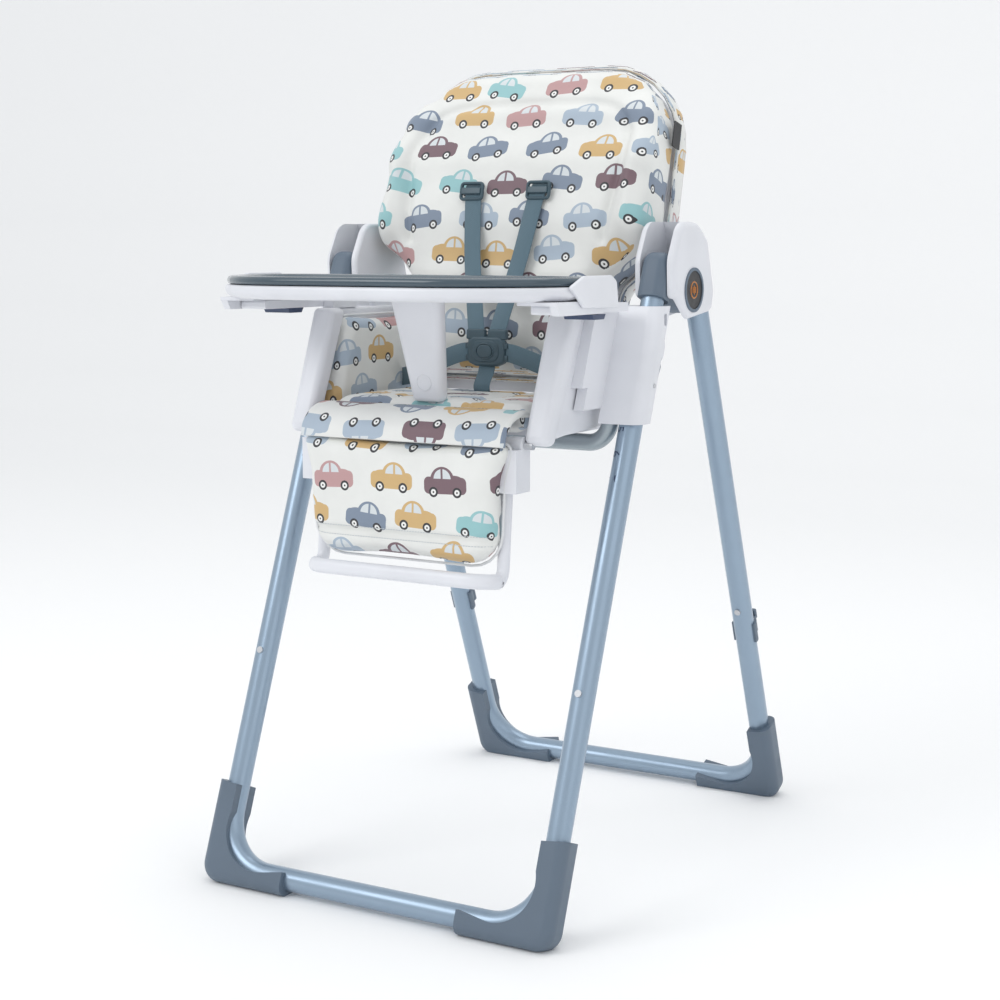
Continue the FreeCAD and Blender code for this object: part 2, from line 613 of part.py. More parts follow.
def side_shell(label, side):
    """The curved white side of the seat: an outer wall with a lip along its front edge."""
    body = new_body(label, level)
    outline = [(d.calf_hinge_y - 9, 3 - d.calf_hinge_drop, 10), (-205, -176, 24),
               (-d.shell_back, -171, 20), (-d.shell_back, -d.shell_top, 10),
               (-d.shell_front, -d.shell_top)]
    start, width = span(side, d.shell_outer - d.shell_wall, d.shell_outer)
    wall = new_sketch(body, "YZ_Plane", start)
    draw_polygon(wall, outline)
    grow(body, wall, width)
    start, width = span(side, d.shell_outer - d.shell_lip, d.shell_outer)
    lip = new_sketch(body, "YZ_Plane", start)
    low, high = (d.calf_hinge_y - 9, 3 - d.calf_hinge_drop), (-d.shell_front, -d.shell_top)
    draw_polygon(lip, [low + (8,), (low[0] + 26, low[1] - 4, 8), (high[0] + 22, high[1]), high])
    grow(body, lip, width)
    outer = side * float(d.shell_outer)
    round_off(body, 7, lambda e: abs(e.CenterOfMass.x - outer) < 1e-3 and
              (e.CenterOfMass.y < -190 or e.CenterOfMass.z < -150))
    inner = d.shell_outer - d.shell_lip
    pin_start, depth = span(side, inner, inner + d.calf_pin_length + 0.5)
    bore = new_sketch(body, "YZ_Plane", pin_start)
    draw_circle(bore, d.calf_hinge_y, -d.calf_hinge_drop, d.calf_pin_radius)
    carve(body, bore, depth)
    inner = d.shell_outer - d.shell_wall
    pin_start, depth = span(side, inner, inner + d.recline_pin_grip + 0.5)
    bore = new_sketch(body, "YZ_Plane", pin_start)
    draw_circle(bore, *recline_axis, d.recline_pin_radius + d.running_gap)
    carve(body, bore, depth)


def seat_core():
    """The seat pan, its cushion and side pads, and the tube under the seat."""
    pan_top = -d.seat_drop - d.seat_thickness
    inner = d.shell_outer - d.shell_wall
    plate("seat_pan", level, "XY_Plane",
          box_corners(-inner, inner, d.calf_hinge_y + 36, -d.seat_back + 12),
          pan_top - d.pan_thickness, d.pan_thickness)
    cushion = plate("seat_pad", level, "XY_Plane",
                    box_corners(-d.seat_half, d.seat_half, -d.seat_front, -d.seat_back, 24),
                    pan_top, d.seat_thickness)
    top = float(pan_top + d.seat_thickness)
    round_off(cushion, 10, lambda e: abs(e.CenterOfMass.z - top) < 1e-3)
    for name, side in SIDES:
        start, width = span(side, inner - d.side_pad_thickness, inner)
        lift = pan_top
        plate(f"side_pad_{name}", level, "YZ_Plane",
              [(-d.seat_front + 22, lift), (-d.seat_back - 4, lift, 10),
               (-d.seat_back - 4, -d.shell_top - 12, 10), (-d.shell_front + 36, -d.shell_top - 12, 20)],
              start, width)


def bent_rod(label, frame, spots, bends, radius):
    """A round rod along straight runs and tangent arcs."""
    points = [Vector(*[float(c) for c in spot]) for spot in spots]
    edges, here = [], points[0]
    for i, bend in enumerate(bends, start=1):
        before = (points[i - 1] - points[i]).normalize()
        after = (points[i + 1] - points[i]).normalize()
        half = before.getAngle(after) / 2
        reach = float(bend) / math.tan(half)
        centre = points[i] + (before + after).normalize() * (float(bend) / math.sin(half))
        middle = centre + (points[i] - centre).normalize() * float(bend)
        edges.append(Part.LineSegment(here, points[i] + before * reach).toShape())
        here = points[i] + after * reach
        edges.append(Part.Arc(points[i] + before * reach, middle, here).toShape())
    edges.append(Part.LineSegment(here, points[-1]).toShape())
    start = (points[1] - points[0]).normalize()
    ring = Part.Wire([Part.Circle(points[0], start, float(radius)).toShape()])
    rod = Part.Wire(edges).makePipeShell([ring], True, False)
    return solids(label, frame, [rod])


def under_seat_tube():
    """The grey tube that joins the two carriers under the seat."""
    reach = leg_x - d.tube_radius - d.sliding_gap - d.under_tube_radius - 2
    low = -d.seat_drop - d.seat_thickness - d.pan_thickness - d.under_tube_radius - 3
    top = -d.carrier_drop - d.carrier_height
    under = Frame(pivot_y - d.under_tube_ahead, d.pivot_height)
    bent_rod("under_seat_tube", under, [(-reach, 0, top), (-reach, 0, low), (reach, 0, low),
                                            (reach, 0, top)], (30, 30), d.under_tube_radius)


def arm_rail(label, side):
    """The rail on top of the seat side that the tray's arm slides along."""
    start, width = span(side, d.rail_inner, d.rail_inner + d.rail_width)
    body = new_body(label, level)
    shape = new_sketch(body, "YZ_Plane", start)
    low = -d.rail_top - d.rail_height
    draw_polygon(shape, [(-d.rail_front, low, 4), (-d.rail_back, low), (-d.rail_back, -d.rail_top),
                         (-d.rail_front, -d.rail_top, 4)])
    grow(body, shape, width)
    root_start, root_width = span(side, d.shell_outer - d.shell_wall, d.rail_inner + 1)
    root = new_sketch(body, "YZ_Plane", root_start)
    draw_rectangle(root, -d.shell_front + 24, -d.rail_back, -d.shell_top, -d.rail_top)
    grow(body, root, root_width)
    return body


# ---------------------------------------------------------------- backrest
def backrest():
    """The reclining shell, its cushion, the recline handle and the hinge pins."""
    half, low, height = d.back_half, d.back_low_half, d.back_height
    waist = d.back_low_height
    outline = [(-low, 6), (low, 6), (low, waist - 30), (half, waist + 25), (half, height, d.back_corner),
               (-half, height, d.back_corner), (-half, waist + 25), (-low, waist - 30)]
    thick, clear = d.back_pad_thickness, 20
    pad = plate("back_pad", back, "XZ_Plane", outline, -thick, thick)
    curve = [(-26, -clear), (-36, 60, 40), (0.86 - thick, waist - 25, 60), (-thick, waist + 50, 80),
             (14 - thick, waist + 130, 90), (-22, height + clear)]
    front = new_sketch(pad, "YZ_Plane", -half - 1)
    draw_polygon(front, curve + [(-thick - clear, height + clear), (-thick - clear, -clear)])
    carve(pad, front, half * 2 + 2)
    edge = 12
    shell = [(-low + edge, -8), (low - edge, -8), (low - edge, waist - 30), (half - edge, waist + 25),
             (half - edge, height - edge, d.back_corner), (edge - half, height - edge, d.back_corner),
             (edge - half, waist + 25), (edge - low, waist - 30)]
    board = plate("back_shell", back, "XZ_Plane", shell, 0, d.back_shell_thickness)
    pocket = new_sketch(board, "XZ_Plane", 4)
    inset = 16
    draw_polygon(pocket, [(-low + edge + inset, 14), (low - edge - inset, 14),
                          (low - edge - inset, waist - 25), (half - edge - inset, waist + 30),
                          (half - edge - inset, height - edge - inset, 80),
                          (edge + inset - half, height - edge - inset, 80),
                          (edge + inset - half, waist + 30), (edge + inset - low, waist - 25)])
    carve(board, pocket, d.back_shell_thickness)
    grip = [block(-38, 38, 4.6, 11.5, 262, 306)]
    grip[0] = grip[0].makeFillet(3, [e for e in grip[0].Edges if e.CenterOfMass.y > 11])
    finger = cylinder(60, 40, (0, 69, 264), (0, 0, 1))
    solids("recline_handle", back, [grip[0].cut(finger)])
    x0, tip = low - edge, d.shell_outer - d.shell_wall + d.recline_pin_grip
    pins = [cylinder(d.recline_pin_radius, tip - x0, (side * x0, recline_pin_y, 0), (side, 0, 0))
            for _, side in SIDES]
    solids("recline_pins", back, pins)


def harness():
    """Shoulder straps on the backrest; buckle, crotch strap and lap straps on the seat."""
    y0, z0 = float(d.buckle_y), -float(d.buckle_drop)
    half, tall, thick = [float(v) for v in (d.buckle_width / 2, d.buckle_height / 2,
                                            d.buckle_thickness)]
    case = block(-half, half, y0 - thick / 2, y0 + thick / 2, z0 - tall, z0 + tall)
    case = case.makeFillet(5, case.Edges)
    well = cylinder(float(d.button_half) + 0.4, 7, (0, y0 - thick / 2 - 1, z0 + 2), (0, 1, 0))
    solids("buckle", level, [case.cut(well)])
    button = cylinder(d.button_half, 4, (0, y0 - thick / 2 - 1.2, z0 + 2), (0, 1, 0))
    button = button.makeFillet(1, [e for e in button.Edges if e.CenterOfMass.y < y0 - thick / 2 - 1])
    solids("buckle_button", level, [button])
    width, thin = float(d.strap_width) / 2, float(d.strap_thickness)
    seat_top = -float(d.seat_drop)
    crotch = block(-width, width, y0 - thin / 2, y0 + thin / 2, seat_top, z0 - tall)
    solids("crotch_strap", level, [crotch])
    inner = float(d.shell_outer - d.shell_wall - d.side_pad_thickness)
    for name, side in SIDES:
        strap = block(half, inner, y0 - thin / 2, y0 + thin / 2, z0 - width - 2, z0 + width - 2)
        if side < 0:
            strap = strap.mirror(Vector(0, 0, 0), Vector(1, 0, 0))
        solids(f"lap_strap_{name}", level, [strap])
    face, slot_z, strap_x = -float(d.back_pad_thickness), 258, 52
    low_y, low_z = back.local(d.buckle_y - d.back_hinge_y, tall + 3 - d.buckle_drop
                              + d.back_hinge_drop)
    sliders = []
    for name, side in SIDES:
        top_spot = Vector(side * strap_x, face - thin / 2, slot_z)
        low_spot = Vector(side * (width + 3), float(low_y), float(low_z))
        solids(f"shoulder_strap_{name}", back, [strip(low_spot, top_spot, 2 * width, thin)])
        run = (top_spot - low_spot).normalize()
        slider = strip(top_spot - run * 30, top_spot - run * 4, 2 * width + 5, 5)
        slider.translate(Vector(0, -(thin + 5.2) / 2, 0))
        sliders.append(slider)
    solids("strap_adjusters", back, sliders)
    tag = block(float(d.back_half), float(d.back_half) + 2, -26, -5, 326, 360)
    solids("side_tag", back, [tag])


# ---------------------------------------------------------------- calf rest and footrest
def calf_rest():
    """The board that hangs from the seat's front, its cushion, and the sliding footrest."""
    top, long = d.calf_top_half, d.calf_length
    width = d.foot_half - d.foot_tube - 3
    core_face = -d.calf_board - d.calf_core + 12
    pad = plate("calf_pad", calf, "XZ_Plane",
                [(-top, 5), (top, 5), (d.calf_low_half, -100), (d.calf_low_half - 3, -long, 46),
                 (3 - d.calf_low_half, -long, 46), (-d.calf_low_half, -100)],
                core_face - d.calf_thickness, d.calf_thickness)
    near = float(core_face - d.calf_thickness)
    round_off(pad, 7, lambda e: abs(e.CenterOfMass.y - near) < 1e-3)
    core = new_sketch(pad, "XZ_Plane", core_face - 1)
    draw_polygon(core, [(2 - width, 3), (width - 2, 3), (width - 8, 4 - long, 42),
                        (8 - width, 4 - long, 42)])
    grow(pad, core, d.calf_core + 1)
    back_face = core_face + d.calf_core
    board = plate("calf_board", calf, "XZ_Plane",
                  [(-width, 4), (width, 4), (width - 6, 20 - long, 40), (6 - width, 20 - long, 40)],
                  back_face, d.calf_board)
    knuckles, pins = [], []
    arm = cylinder(d.foot_tube + 0.3, 110, (d.foot_half, d.foot_back, -80), (0, 0, 1))
    arm.Placement = Placement(Vector(0, 0, 0), Rotation(Vector(1, 0, 0), -float(d.foot_lean)))
    outer = float(d.shell_outer - d.shell_lip) - 0.5
    for _, side in SIDES:
        boss = cylinder(11, outer - float(width), (float(width), 0, 0), (1, 0, 0))
        housing = block(width, outer, -22, 13, -58, -4)
        knuckle = boss.fuse(housing).cut(arm)
        pin = cylinder(d.calf_pin_radius - d.running_gap, float(d.calf_pin_length),
                       (outer, 0, 0), (1, 0, 0))
        if side < 0:
            knuckle, pin = [item.mirror(Vector(0, 0, 0), Vector(1, 0, 0)) for item in (knuckle, pin)]
        knuckles.append(knuckle)
        pins.append(pin)
    solids("calf_knuckles", calf, knuckles)
    solids("calf_pins", calf, pins)


def footrest():
    """The white loop that slides out of the calf rest."""
    x, low, ahead = d.foot_half, -d.foot_drop, -d.foot_reach
    right = [(-x, d.foot_back, -d.foot_arm_top), (-x, d.foot_back, low), (-x, ahead, low)]
    left = [(-across, y, z) for across, y, z in reversed(right)]
    knee, corner = d.foot_knee, d.foot_corner
    bent_rod("footrest", foot, right + left, (knee, corner, corner, knee), d.foot_tube)


# ---------------------------------------------------------------- tray
def tray():
    """The white tray with its arms and crotch post, the lift-out insert and two levers."""
    rear_edge = d.tray_depth - d.tray_reach
    body = plate("tray_base", level, "XY_Plane",
                 [(-d.tray_half, -d.tray_reach, d.tray_front_corner),
                  (d.tray_half, -d.tray_reach, d.tray_front_corner),
                  (d.tray_half, rear_edge, d.tray_rear_corner),
                  (-d.tray_half, rear_edge, d.tray_rear_corner)],
                 d.tray_lift - d.tray_rim, d.tray_rim)
    rim = 9
    well = new_sketch(body, "XY_Plane", d.tray_lift - d.tray_rim + d.tray_skin)
    draw_polygon(well, [(rim - d.tray_half, rim - d.tray_reach, d.tray_front_corner - rim),
                        (d.tray_half - rim, rim - d.tray_reach, d.tray_front_corner - rim),
                        (d.tray_half - rim, rear_edge - rim, d.tray_rear_corner - rim),
                        (rim - d.tray_half, rear_edge - rim, d.tray_rear_corner - rim)])
    carve(body, well, d.tray_rim)
    for name, side in SIDES:
        start, width = span(side, d.tray_half - 3.5, d.tray_half - 3.5 + d.wing_thickness)
        wing = new_sketch(body, "YZ_Plane", start)
        draw_polygon(wing, [(-306, 9), (-270, 22, 4), (-199, 22, 4), (-186, 15, 4), (-180, -18, 3),
                            (-270, -16, 3), (-285, -5)])
        grow(body, wing, width)
    floor = d.tray_lift - d.tray_rim
    insert_base = d.tray_lift + 0.4
    lip, half, front_edge = 5, d.tray_half - 4.5, -d.tray_reach + 2
    bend = d.tray_front_corner - 3
    insert = plate("tray_insert", level, "XY_Plane",
                   [(-half, front_edge, bend), (half, front_edge, bend),
                    (half, rear_edge - 2, d.tray_rear_corner),
                    (-half, rear_edge - 2, d.tray_rear_corner)], insert_base, d.insert_rim)
    dish = new_sketch(insert, "XY_Plane", insert_base + d.insert_skin)
    draw_polygon(dish, [(lip - half, lip + front_edge, bend - lip),
                        (half - lip, lip + front_edge, bend - lip),
                        (half - lip, rear_edge - 2 - lip, d.tray_rear_corner - lip),
                        (lip - half, rear_edge - 2 - lip, d.tray_rear_corner - lip)])
    carve(insert, dish, d.insert_rim)
    crotch_post(floor)
    for name, side in SIDES:
        tray_arm(name, side, floor)


def crotch_post(top):
    """The tapered guard between the child's legs, fixed under the tray."""
    body = new_body("crotch_post", level)
    high = new_sketch(body, "XY_Plane", top)
    y_top, y_low = as_size(-255), as_size(-226)
    draw_rectangle(high, -d.post_top_half, d.post_top_half, y_top, y_top + d.post_thickness, 7)
    low = new_sketch(body, "XY_Plane", 5 - d.seat_drop)
    draw_rectangle(low, -d.post_low_half, d.post_low_half, y_low, y_low + d.post_thickness, 7)
    loft = body.newObject("PartDesign::AdditiveLoft", "crotch_post_loft")
    loft.Profile = high
    loft.Sections = [low]
    doc.recompute()
    bottom = float(5 - d.seat_drop)
    round_off(body, 6, lambda e: abs(e.CenterOfMass.z - bottom) < 1e-3)


def tray_arm(name, side, floor):
    """A channel under the tray that runs on the seat's rail, and its release lever."""
    body = new_body(f"tray_arm_{name}", level)
    inner, outer = d.rail_inner - 3, d.rail_inner + d.rail_width + 12
    shelf = floor - 4.5
    start, width = span(side, inner, outer)
    cap = new_sketch(body, "YZ_Plane", start)
    draw_rectangle(cap, -330, -205, shelf, floor)
    grow(body, cap, width)
    start, width = span(side, outer - 10, outer)
    wall = new_sketch(body, "YZ_Plane", start)
    draw_polygon(wall, [(-322, shelf - 11.5), (-212, shelf - 11.5), (-205, shelf + 1), (-330, shelf + 1)])
    grow(body, wall, width)
    rail_low = -d.rail_top - d.rail_height
    start, width = span(side, d.rail_inner + 10, outer)
    plate(f"tray_lever_{name}", level, "YZ_Plane",
          [(-240, rail_low - 0.6), (-236, rail_low - 7, 2), (-209, rail_low - 7, 2),
           (-205, rail_low - 0.6)], start, width)


# ---------------------------------------------------------------- small working pieces
def height_levers():
    """The squeeze levers behind the sleeves that let the seat change height."""
    for name, side in SIDES:
        start, width = span(side, leg_x - 7.5, leg_x + 7.5)
        n = -d.carrier_half
        body = plate(f"height_lever_{name}", level, "YZ_Plane",
                     [along_leg(n - 3, -80), along_leg(n - 12, -80), along_leg(n - 20, -98),
                      along_leg(n - 17, -112), along_leg(n - 7, -118), along_leg(n - 5, -96)],
                     start, width)
        hole = new_sketch(body, "YZ_Plane", start)
        draw_circle(hole, *lever_axis(), d.lever_pin_radius + d.running_gap)
        carve(body, hole, width)
    y, z = [float(v) for v in lever_axis()]
    x = float(leg_x)
    pins = [cylinder(d.lever_pin_radius, 24, (side * x - 12, y, z), (1, 0, 0)) for _, side in SIDES]
    solids("lever_pins", level, pins)


def lever_axis():
    return along_leg(-d.carrier_half - 8, as_size(-86))


def carrier_screws():
    """Screw heads on the outer faces of the sleeves."""
    shapes = []
    y, z = [float(v) for v in along_leg(0, as_size(-118))]
    x = float(leg_x + d.carrier_outer)
    for _, side in SIDES:
        head = cylinder(3, 0.8, (side * x, y, z), (side, 0, 0))
        slot = block(side * x - 2, side * x + 2, y - 2, y + 2, z - 0.4, z + 0.4)
        shapes.append(head.cut(slot))
    solids("carrier_screws", level, shapes)


def build_seat():
    for name, side in SIDES:
        carrier(f"carrier_{name}", side)
        side_shell(f"side_shell_{name}", side)
        arm_rail(f"arm_rail_{name}", side)
    seat_core()
    under_seat_tube()
    backrest()
    harness()
    calf_rest()
    footrest()
    tray()
    height_levers()
    carrier_screws()


def check_and_write():
    doc.recompute()
    for item in doc.Objects:
        if "Invalid" in item.State or "Error" in item.State:
            raise RuntimeError(f"{item.Name} failed to build")
    os.makedirs("parts", exist_ok=True)
    for part in sub_parts:
        if part.Shape.isNull() or not part.Shape.isValid():
            raise RuntimeError(f"{part.Label} has no sound shape")
        part.Shape.exportStep(f"parts/{part.Label}.step")


build_frame()
build_hubs()
build_seat()
check_and_write()
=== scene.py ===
"""Looks of a folding baby high chair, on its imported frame. Metres; +Z up, the child faces -Y."""
import json
import math

import bmesh
import bpy
from mathutils import Matrix, Vector, noise


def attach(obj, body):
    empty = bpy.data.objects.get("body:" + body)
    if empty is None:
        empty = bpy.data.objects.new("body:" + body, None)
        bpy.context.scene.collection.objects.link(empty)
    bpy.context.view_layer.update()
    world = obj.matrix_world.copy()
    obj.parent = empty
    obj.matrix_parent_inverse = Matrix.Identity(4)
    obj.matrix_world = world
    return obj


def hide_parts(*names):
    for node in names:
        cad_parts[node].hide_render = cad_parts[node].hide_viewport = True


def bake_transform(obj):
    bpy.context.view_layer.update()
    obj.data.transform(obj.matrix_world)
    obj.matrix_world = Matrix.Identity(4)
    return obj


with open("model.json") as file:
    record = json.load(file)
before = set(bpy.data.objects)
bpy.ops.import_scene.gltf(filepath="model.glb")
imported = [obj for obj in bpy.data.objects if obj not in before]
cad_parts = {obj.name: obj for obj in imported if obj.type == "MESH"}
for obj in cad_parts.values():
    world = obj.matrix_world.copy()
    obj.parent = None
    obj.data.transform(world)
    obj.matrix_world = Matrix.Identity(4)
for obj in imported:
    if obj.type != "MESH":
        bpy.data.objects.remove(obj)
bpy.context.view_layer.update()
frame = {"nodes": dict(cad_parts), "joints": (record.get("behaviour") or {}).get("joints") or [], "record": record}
nodes = frame["nodes"]

SIDES = (("left", 1), ("right", -1))
JOINTS = {joint["name"]: joint for joint in frame["joints"]}
PIVOT = Vector(JOINTS["fold"]["pos_m"])
BACK_AXIS = Vector(JOINTS["recline_release"]["axis"])
BACK_LEAN = math.atan2(BACK_AXIS.y, BACK_AXIS.z)
CALF_HINGE = Vector(JOINTS["calf_swing"]["pos_m"])


# ---------------------------------------------------------------- finishes
class Field:
    """A number that varies over a surface, held as a socket of a node tree."""

    def __init__(self, tree, socket):
        self.tree, self.socket = tree, socket

    def does(self, operation, *others):
        node = self.tree.nodes.new("ShaderNodeMath")
        node.operation = operation
        for slot, item in zip(node.inputs, (self, *others)):
            if isinstance(item, Field):
                self.tree.links.new(item.socket, slot)
            else:
                slot.default_value = item
        return Field(self.tree, node.outputs[0])

    def __add__(self, other):
        return self.does("ADD", other)

    def __sub__(self, other):
        return self.does("SUBTRACT", other)

    def __mul__(self, other):
        return self.does("MULTIPLY", other)

    def __truediv__(self, other):
        return self.does("DIVIDE", other)

    def below(self, other):
        return self.does("LESS_THAN", other)

    def floor(self):
        return self.does("FLOOR")

    def abs(self):
        return self.does("ABSOLUTE")


def length(x, y):
    return (x * x + y * y).does("SQRT")


class Finish:
    """A procedural material while it is being built."""

    def __init__(self, name, color, roughness, **sockets):
        self.material = bpy.data.materials.new(name)
        self.material.use_nodes = True
        self.tree = self.material.node_tree
        self.shader = self.tree.nodes["Principled BSDF"]
        self.color = (*color, 1)
        self.roughness = roughness
        self.shader.inputs["Base Color"].default_value = self.color
        self.shader.inputs["Roughness"].default_value = roughness
        for label, value in sockets.items():
            self.shader.inputs[label.replace("_", " ").title()].default_value = value
        self.height = None
        self.place = self.add("ShaderNodeTexCoord").outputs["Object"]

    def add(self, kind, **properties):
        node = self.tree.nodes.new(kind)
        for label, value in properties.items():
            setattr(node, label, value)
        return node

    def feed(self, node, **inputs):
        for label, value in inputs.items():
            slot = node.inputs[label.replace("_", " ").title()]
            if isinstance(value, bpy.types.NodeSocket):
                self.tree.links.new(value, slot)
            else:
                slot.default_value = value
        return node

    def cloudy(self, scale, detail=3.0, stretch=None):
        place = self.place
        if stretch:
            place = self.feed(self.add("ShaderNodeMapping"), vector=place, scale=stretch).outputs[0]
        node = self.feed(self.add("ShaderNodeTexNoise"), vector=place, scale=scale, detail=detail)
        return node.outputs["Fac"]

    def ramp(self, factor, low, high, start=0.35, stop=0.65):
        node = self.add("ShaderNodeMapRange")
        node.inputs["From Min"].default_value, node.inputs["From Max"].default_value = start, stop
        node.inputs["To Min"].default_value, node.inputs["To Max"].default_value = low, high
        self.tree.links.new(factor, node.inputs["Value"])
        return node.outputs[0]

    def blend(self, factor, under, over):
        node = self.add("ShaderNodeMix", data_type="RGBA")
        for slot, item in ((0, factor), (6, under), (7, over)):
            if isinstance(item, bpy.types.NodeSocket):
                self.tree.links.new(item, node.inputs[slot])
            else:
                node.inputs[slot].default_value = item
        return node.outputs[2]

    def paint(self, socket):
        self.tree.links.new(socket, self.shader.inputs["Base Color"])
        return self

    def shine(self, socket):
        self.tree.links.new(socket, self.shader.inputs["Roughness"])
        return self

    def raise_by(self, socket, strength, distance):
        node = self.feed(self.add("ShaderNodeBump"), strength=strength, distance=distance,
                         height=socket)
        if self.height:
            self.tree.links.new(self.height, node.inputs["Normal"])
        self.height = node.outputs[0]
        self.tree.links.new(self.height, self.shader.inputs["Normal"])
        return self


def shade(color, factor):
    return tuple(min(1, c * factor) for c in color)


def moulded(name, color, roughness, grain=900, relief=0.12, **sockets):
    """Moulded plastic: faint mottling, a fine spark-eroded grain and slightly uneven gloss."""
    finish = Finish(name, color, roughness, **sockets)
    dark, light = (*shade(color, 0.95), 1), (*shade(color, 1.03), 1)
    finish.paint(finish.blend(finish.ramp(finish.cloudy(9), 0, 1), dark, light))
    finish.shine(finish.ramp(finish.cloudy(30, 5), roughness * 0.9, roughness * 1.12))
    finish.raise_by(finish.cloudy(grain, 2), relief, 0.0004)
    return finish.material


def painted_tube(name, color):
    """Metallic paint on drawn tube: fine flake, clear coat and a trace of draw lines."""
    finish = Finish(name, color, 0.32, metallic=0.75, coat_weight=0.35, coat_roughness=0.12)
    flake = finish.ramp(finish.cloudy(2600, 2), 0, 1)
    finish.paint(finish.blend(flake, (*shade(color, 0.9), 1), (*shade(color, 1.12), 1)))
    finish.shine(finish.ramp(finish.cloudy(14, 4), 0.28, 0.38))
    return finish.raise_by(finish.cloudy(60, 2, (1, 1, 0.05)), 0.03, 0.0003).material


def woven(name, color, scale=1.0):
    """Webbing: a plain weave of thick yarns along the strap's own UV map."""
    finish = Finish(name, color, 0.75, sheen_weight=0.25, sheen_roughness=0.5)
    finish.place = finish.add("ShaderNodeTexCoord").outputs["UV"]
    split = finish.feed(finish.add("ShaderNodeSeparateXYZ"), vector=finish.place)
    u, v = (Field(finish.tree, split.outputs[i]) for i in (0, 1))
    warp = (u * (2800 * scale)).does("SINE")
    weft = (v * (2100 * scale)).does("SINE")
    yarn = (warp * weft) * 0.5 + 0.5
    dark, light = (*shade(color, 0.78), 1), (*shade(color, 1.18), 1)
    finish.paint(finish.blend(yarn.socket, dark, light))
    return finish.raise_by(yarn.socket, 0.5, 0.0006).material


PRINT_COLORS = ((0.30, 0.54, 0.56), (0.21, 0.26, 0.34), (0.40, 0.48, 0.57), (0.62, 0.42, 0.19),
                (0.19, 0.12, 0.14), (0.51, 0.31, 0.31), (0.40, 0.48, 0.57), (0.21, 0.26, 0.34))


def little_cars(tree, u, v):
    """Rows of small plain cars: returns masks for body, window, tyre and hub, and a random number."""
    wide, tall, size = 0.084, 0.049, 0.0325
    row = (v / tall).floor()
    along = u / wide + (row * 0.5)
    column = along.floor()
    cell = tree.nodes.new("ShaderNodeCombineXYZ")
    tree.links.new(column.socket, cell.inputs[0])
    tree.links.new(row.socket, cell.inputs[1])
    chance = tree.nodes.new("ShaderNodeTexWhiteNoise")
    chance.noise_dimensions = "2D"
    tree.links.new(cell.outputs[0], chance.inputs["Vector"])
    dice = tree.nodes.new("ShaderNodeSeparateColor")
    tree.links.new(chance.outputs["Color"], dice.inputs[0])
    one, two, three = (Field(tree, socket) for socket in dice.outputs)
    x = (along - column - 0.5) * (wide / size) - (two - 0.5) * 0.36
    y = (v / tall - row - 0.5) * (tall / size) - (three - 0.5) * 0.26
    tilt = (one - 0.5) * 0.32
    x, y = x + y * tilt, y - x * tilt
    x = x * (two.below(0.5) * 2 - 1)
    low = (x.abs() - 0.74).does("MAXIMUM", 0)
    lower = ((y + 0.14).abs() - 0.12).does("MAXIMUM", 0)
    hull = length(low, lower).below(0.21)
    bonnet = length((x - 0.42) / 1.5, (y + 0.02) / 0.9).below(0.31)
    roof = length((x + 0.12) / 1.02, (y - 0.06) / 0.98).below(0.53) * (y * -1).below(0.02)
    glass = length((x + 0.12) / 1.0, (y - 0.10)).below(0.39) * (y * -1).below(-0.12)
    pillar = (x + 0.14).abs().below(0.045)
    glass = glass * (pillar * -1 + 1)
    body = hull.does("MAXIMUM", bonnet).does("MAXIMUM", roof)
    wheel = length(x.abs() - 0.53, y + 0.40)
    return body, glass, wheel.below(0.20), wheel.below(0.115), wheel.below(0.04), one


def printed_cloth(name):
    """White coated cloth with the printed cars, on the piece's UV map in metres."""
    white = (0.78, 0.785, 0.76)
    finish = Finish(name, white, 0.5, sheen_weight=0.12, sheen_roughness=0.4)
    finish.place = finish.add("ShaderNodeTexCoord").outputs["UV"]
    split = finish.feed(finish.add("ShaderNodeSeparateXYZ"), vector=finish.place)
    u, v = (Field(finish.tree, split.outputs[i]) for i in (0, 1))
    body, glass, tyre, hub, axle, dice = little_cars(finish.tree, u, v)
    colors = finish.add("ShaderNodeValToRGB")
    colors.color_ramp.interpolation = "CONSTANT"
    stops = colors.color_ramp.elements
    while len(stops) < len(PRINT_COLORS):
        stops.new(len(stops) / len(PRINT_COLORS))
    for i, color in enumerate(PRINT_COLORS):
        stops[i].position = i / len(PRINT_COLORS)
        stops[i].color = (*color, 1)
    finish.tree.links.new(dice.socket, colors.inputs[0])
    ground = finish.blend(finish.ramp(finish.cloudy(14), 0, 1), (*shade(white, 0.97), 1),
                          (*shade(white, 1.03), 1))
    cloth = finish.blend(body.socket, ground, colors.outputs[0])
    cloth = finish.blend(glass.socket, cloth, (0.66, 0.70, 0.72, 1))
    for mask, color in ((tyre, (0.035, 0.035, 0.04, 1)), (hub, (0.85, 0.85, 0.83, 1)),
                        (axle, (0.05, 0.05, 0.05, 1))):
        cloth = finish.blend(mask.socket, cloth, color)
    finish.paint(cloth)
    weave = (u * 5200).does("SINE") * (v * 5200).does("SINE")
    finish.raise_by(finish.cloudy(26, 4), 0.35, 0.004)
    return finish.raise_by(weave.socket, 0.18, 0.0003).material


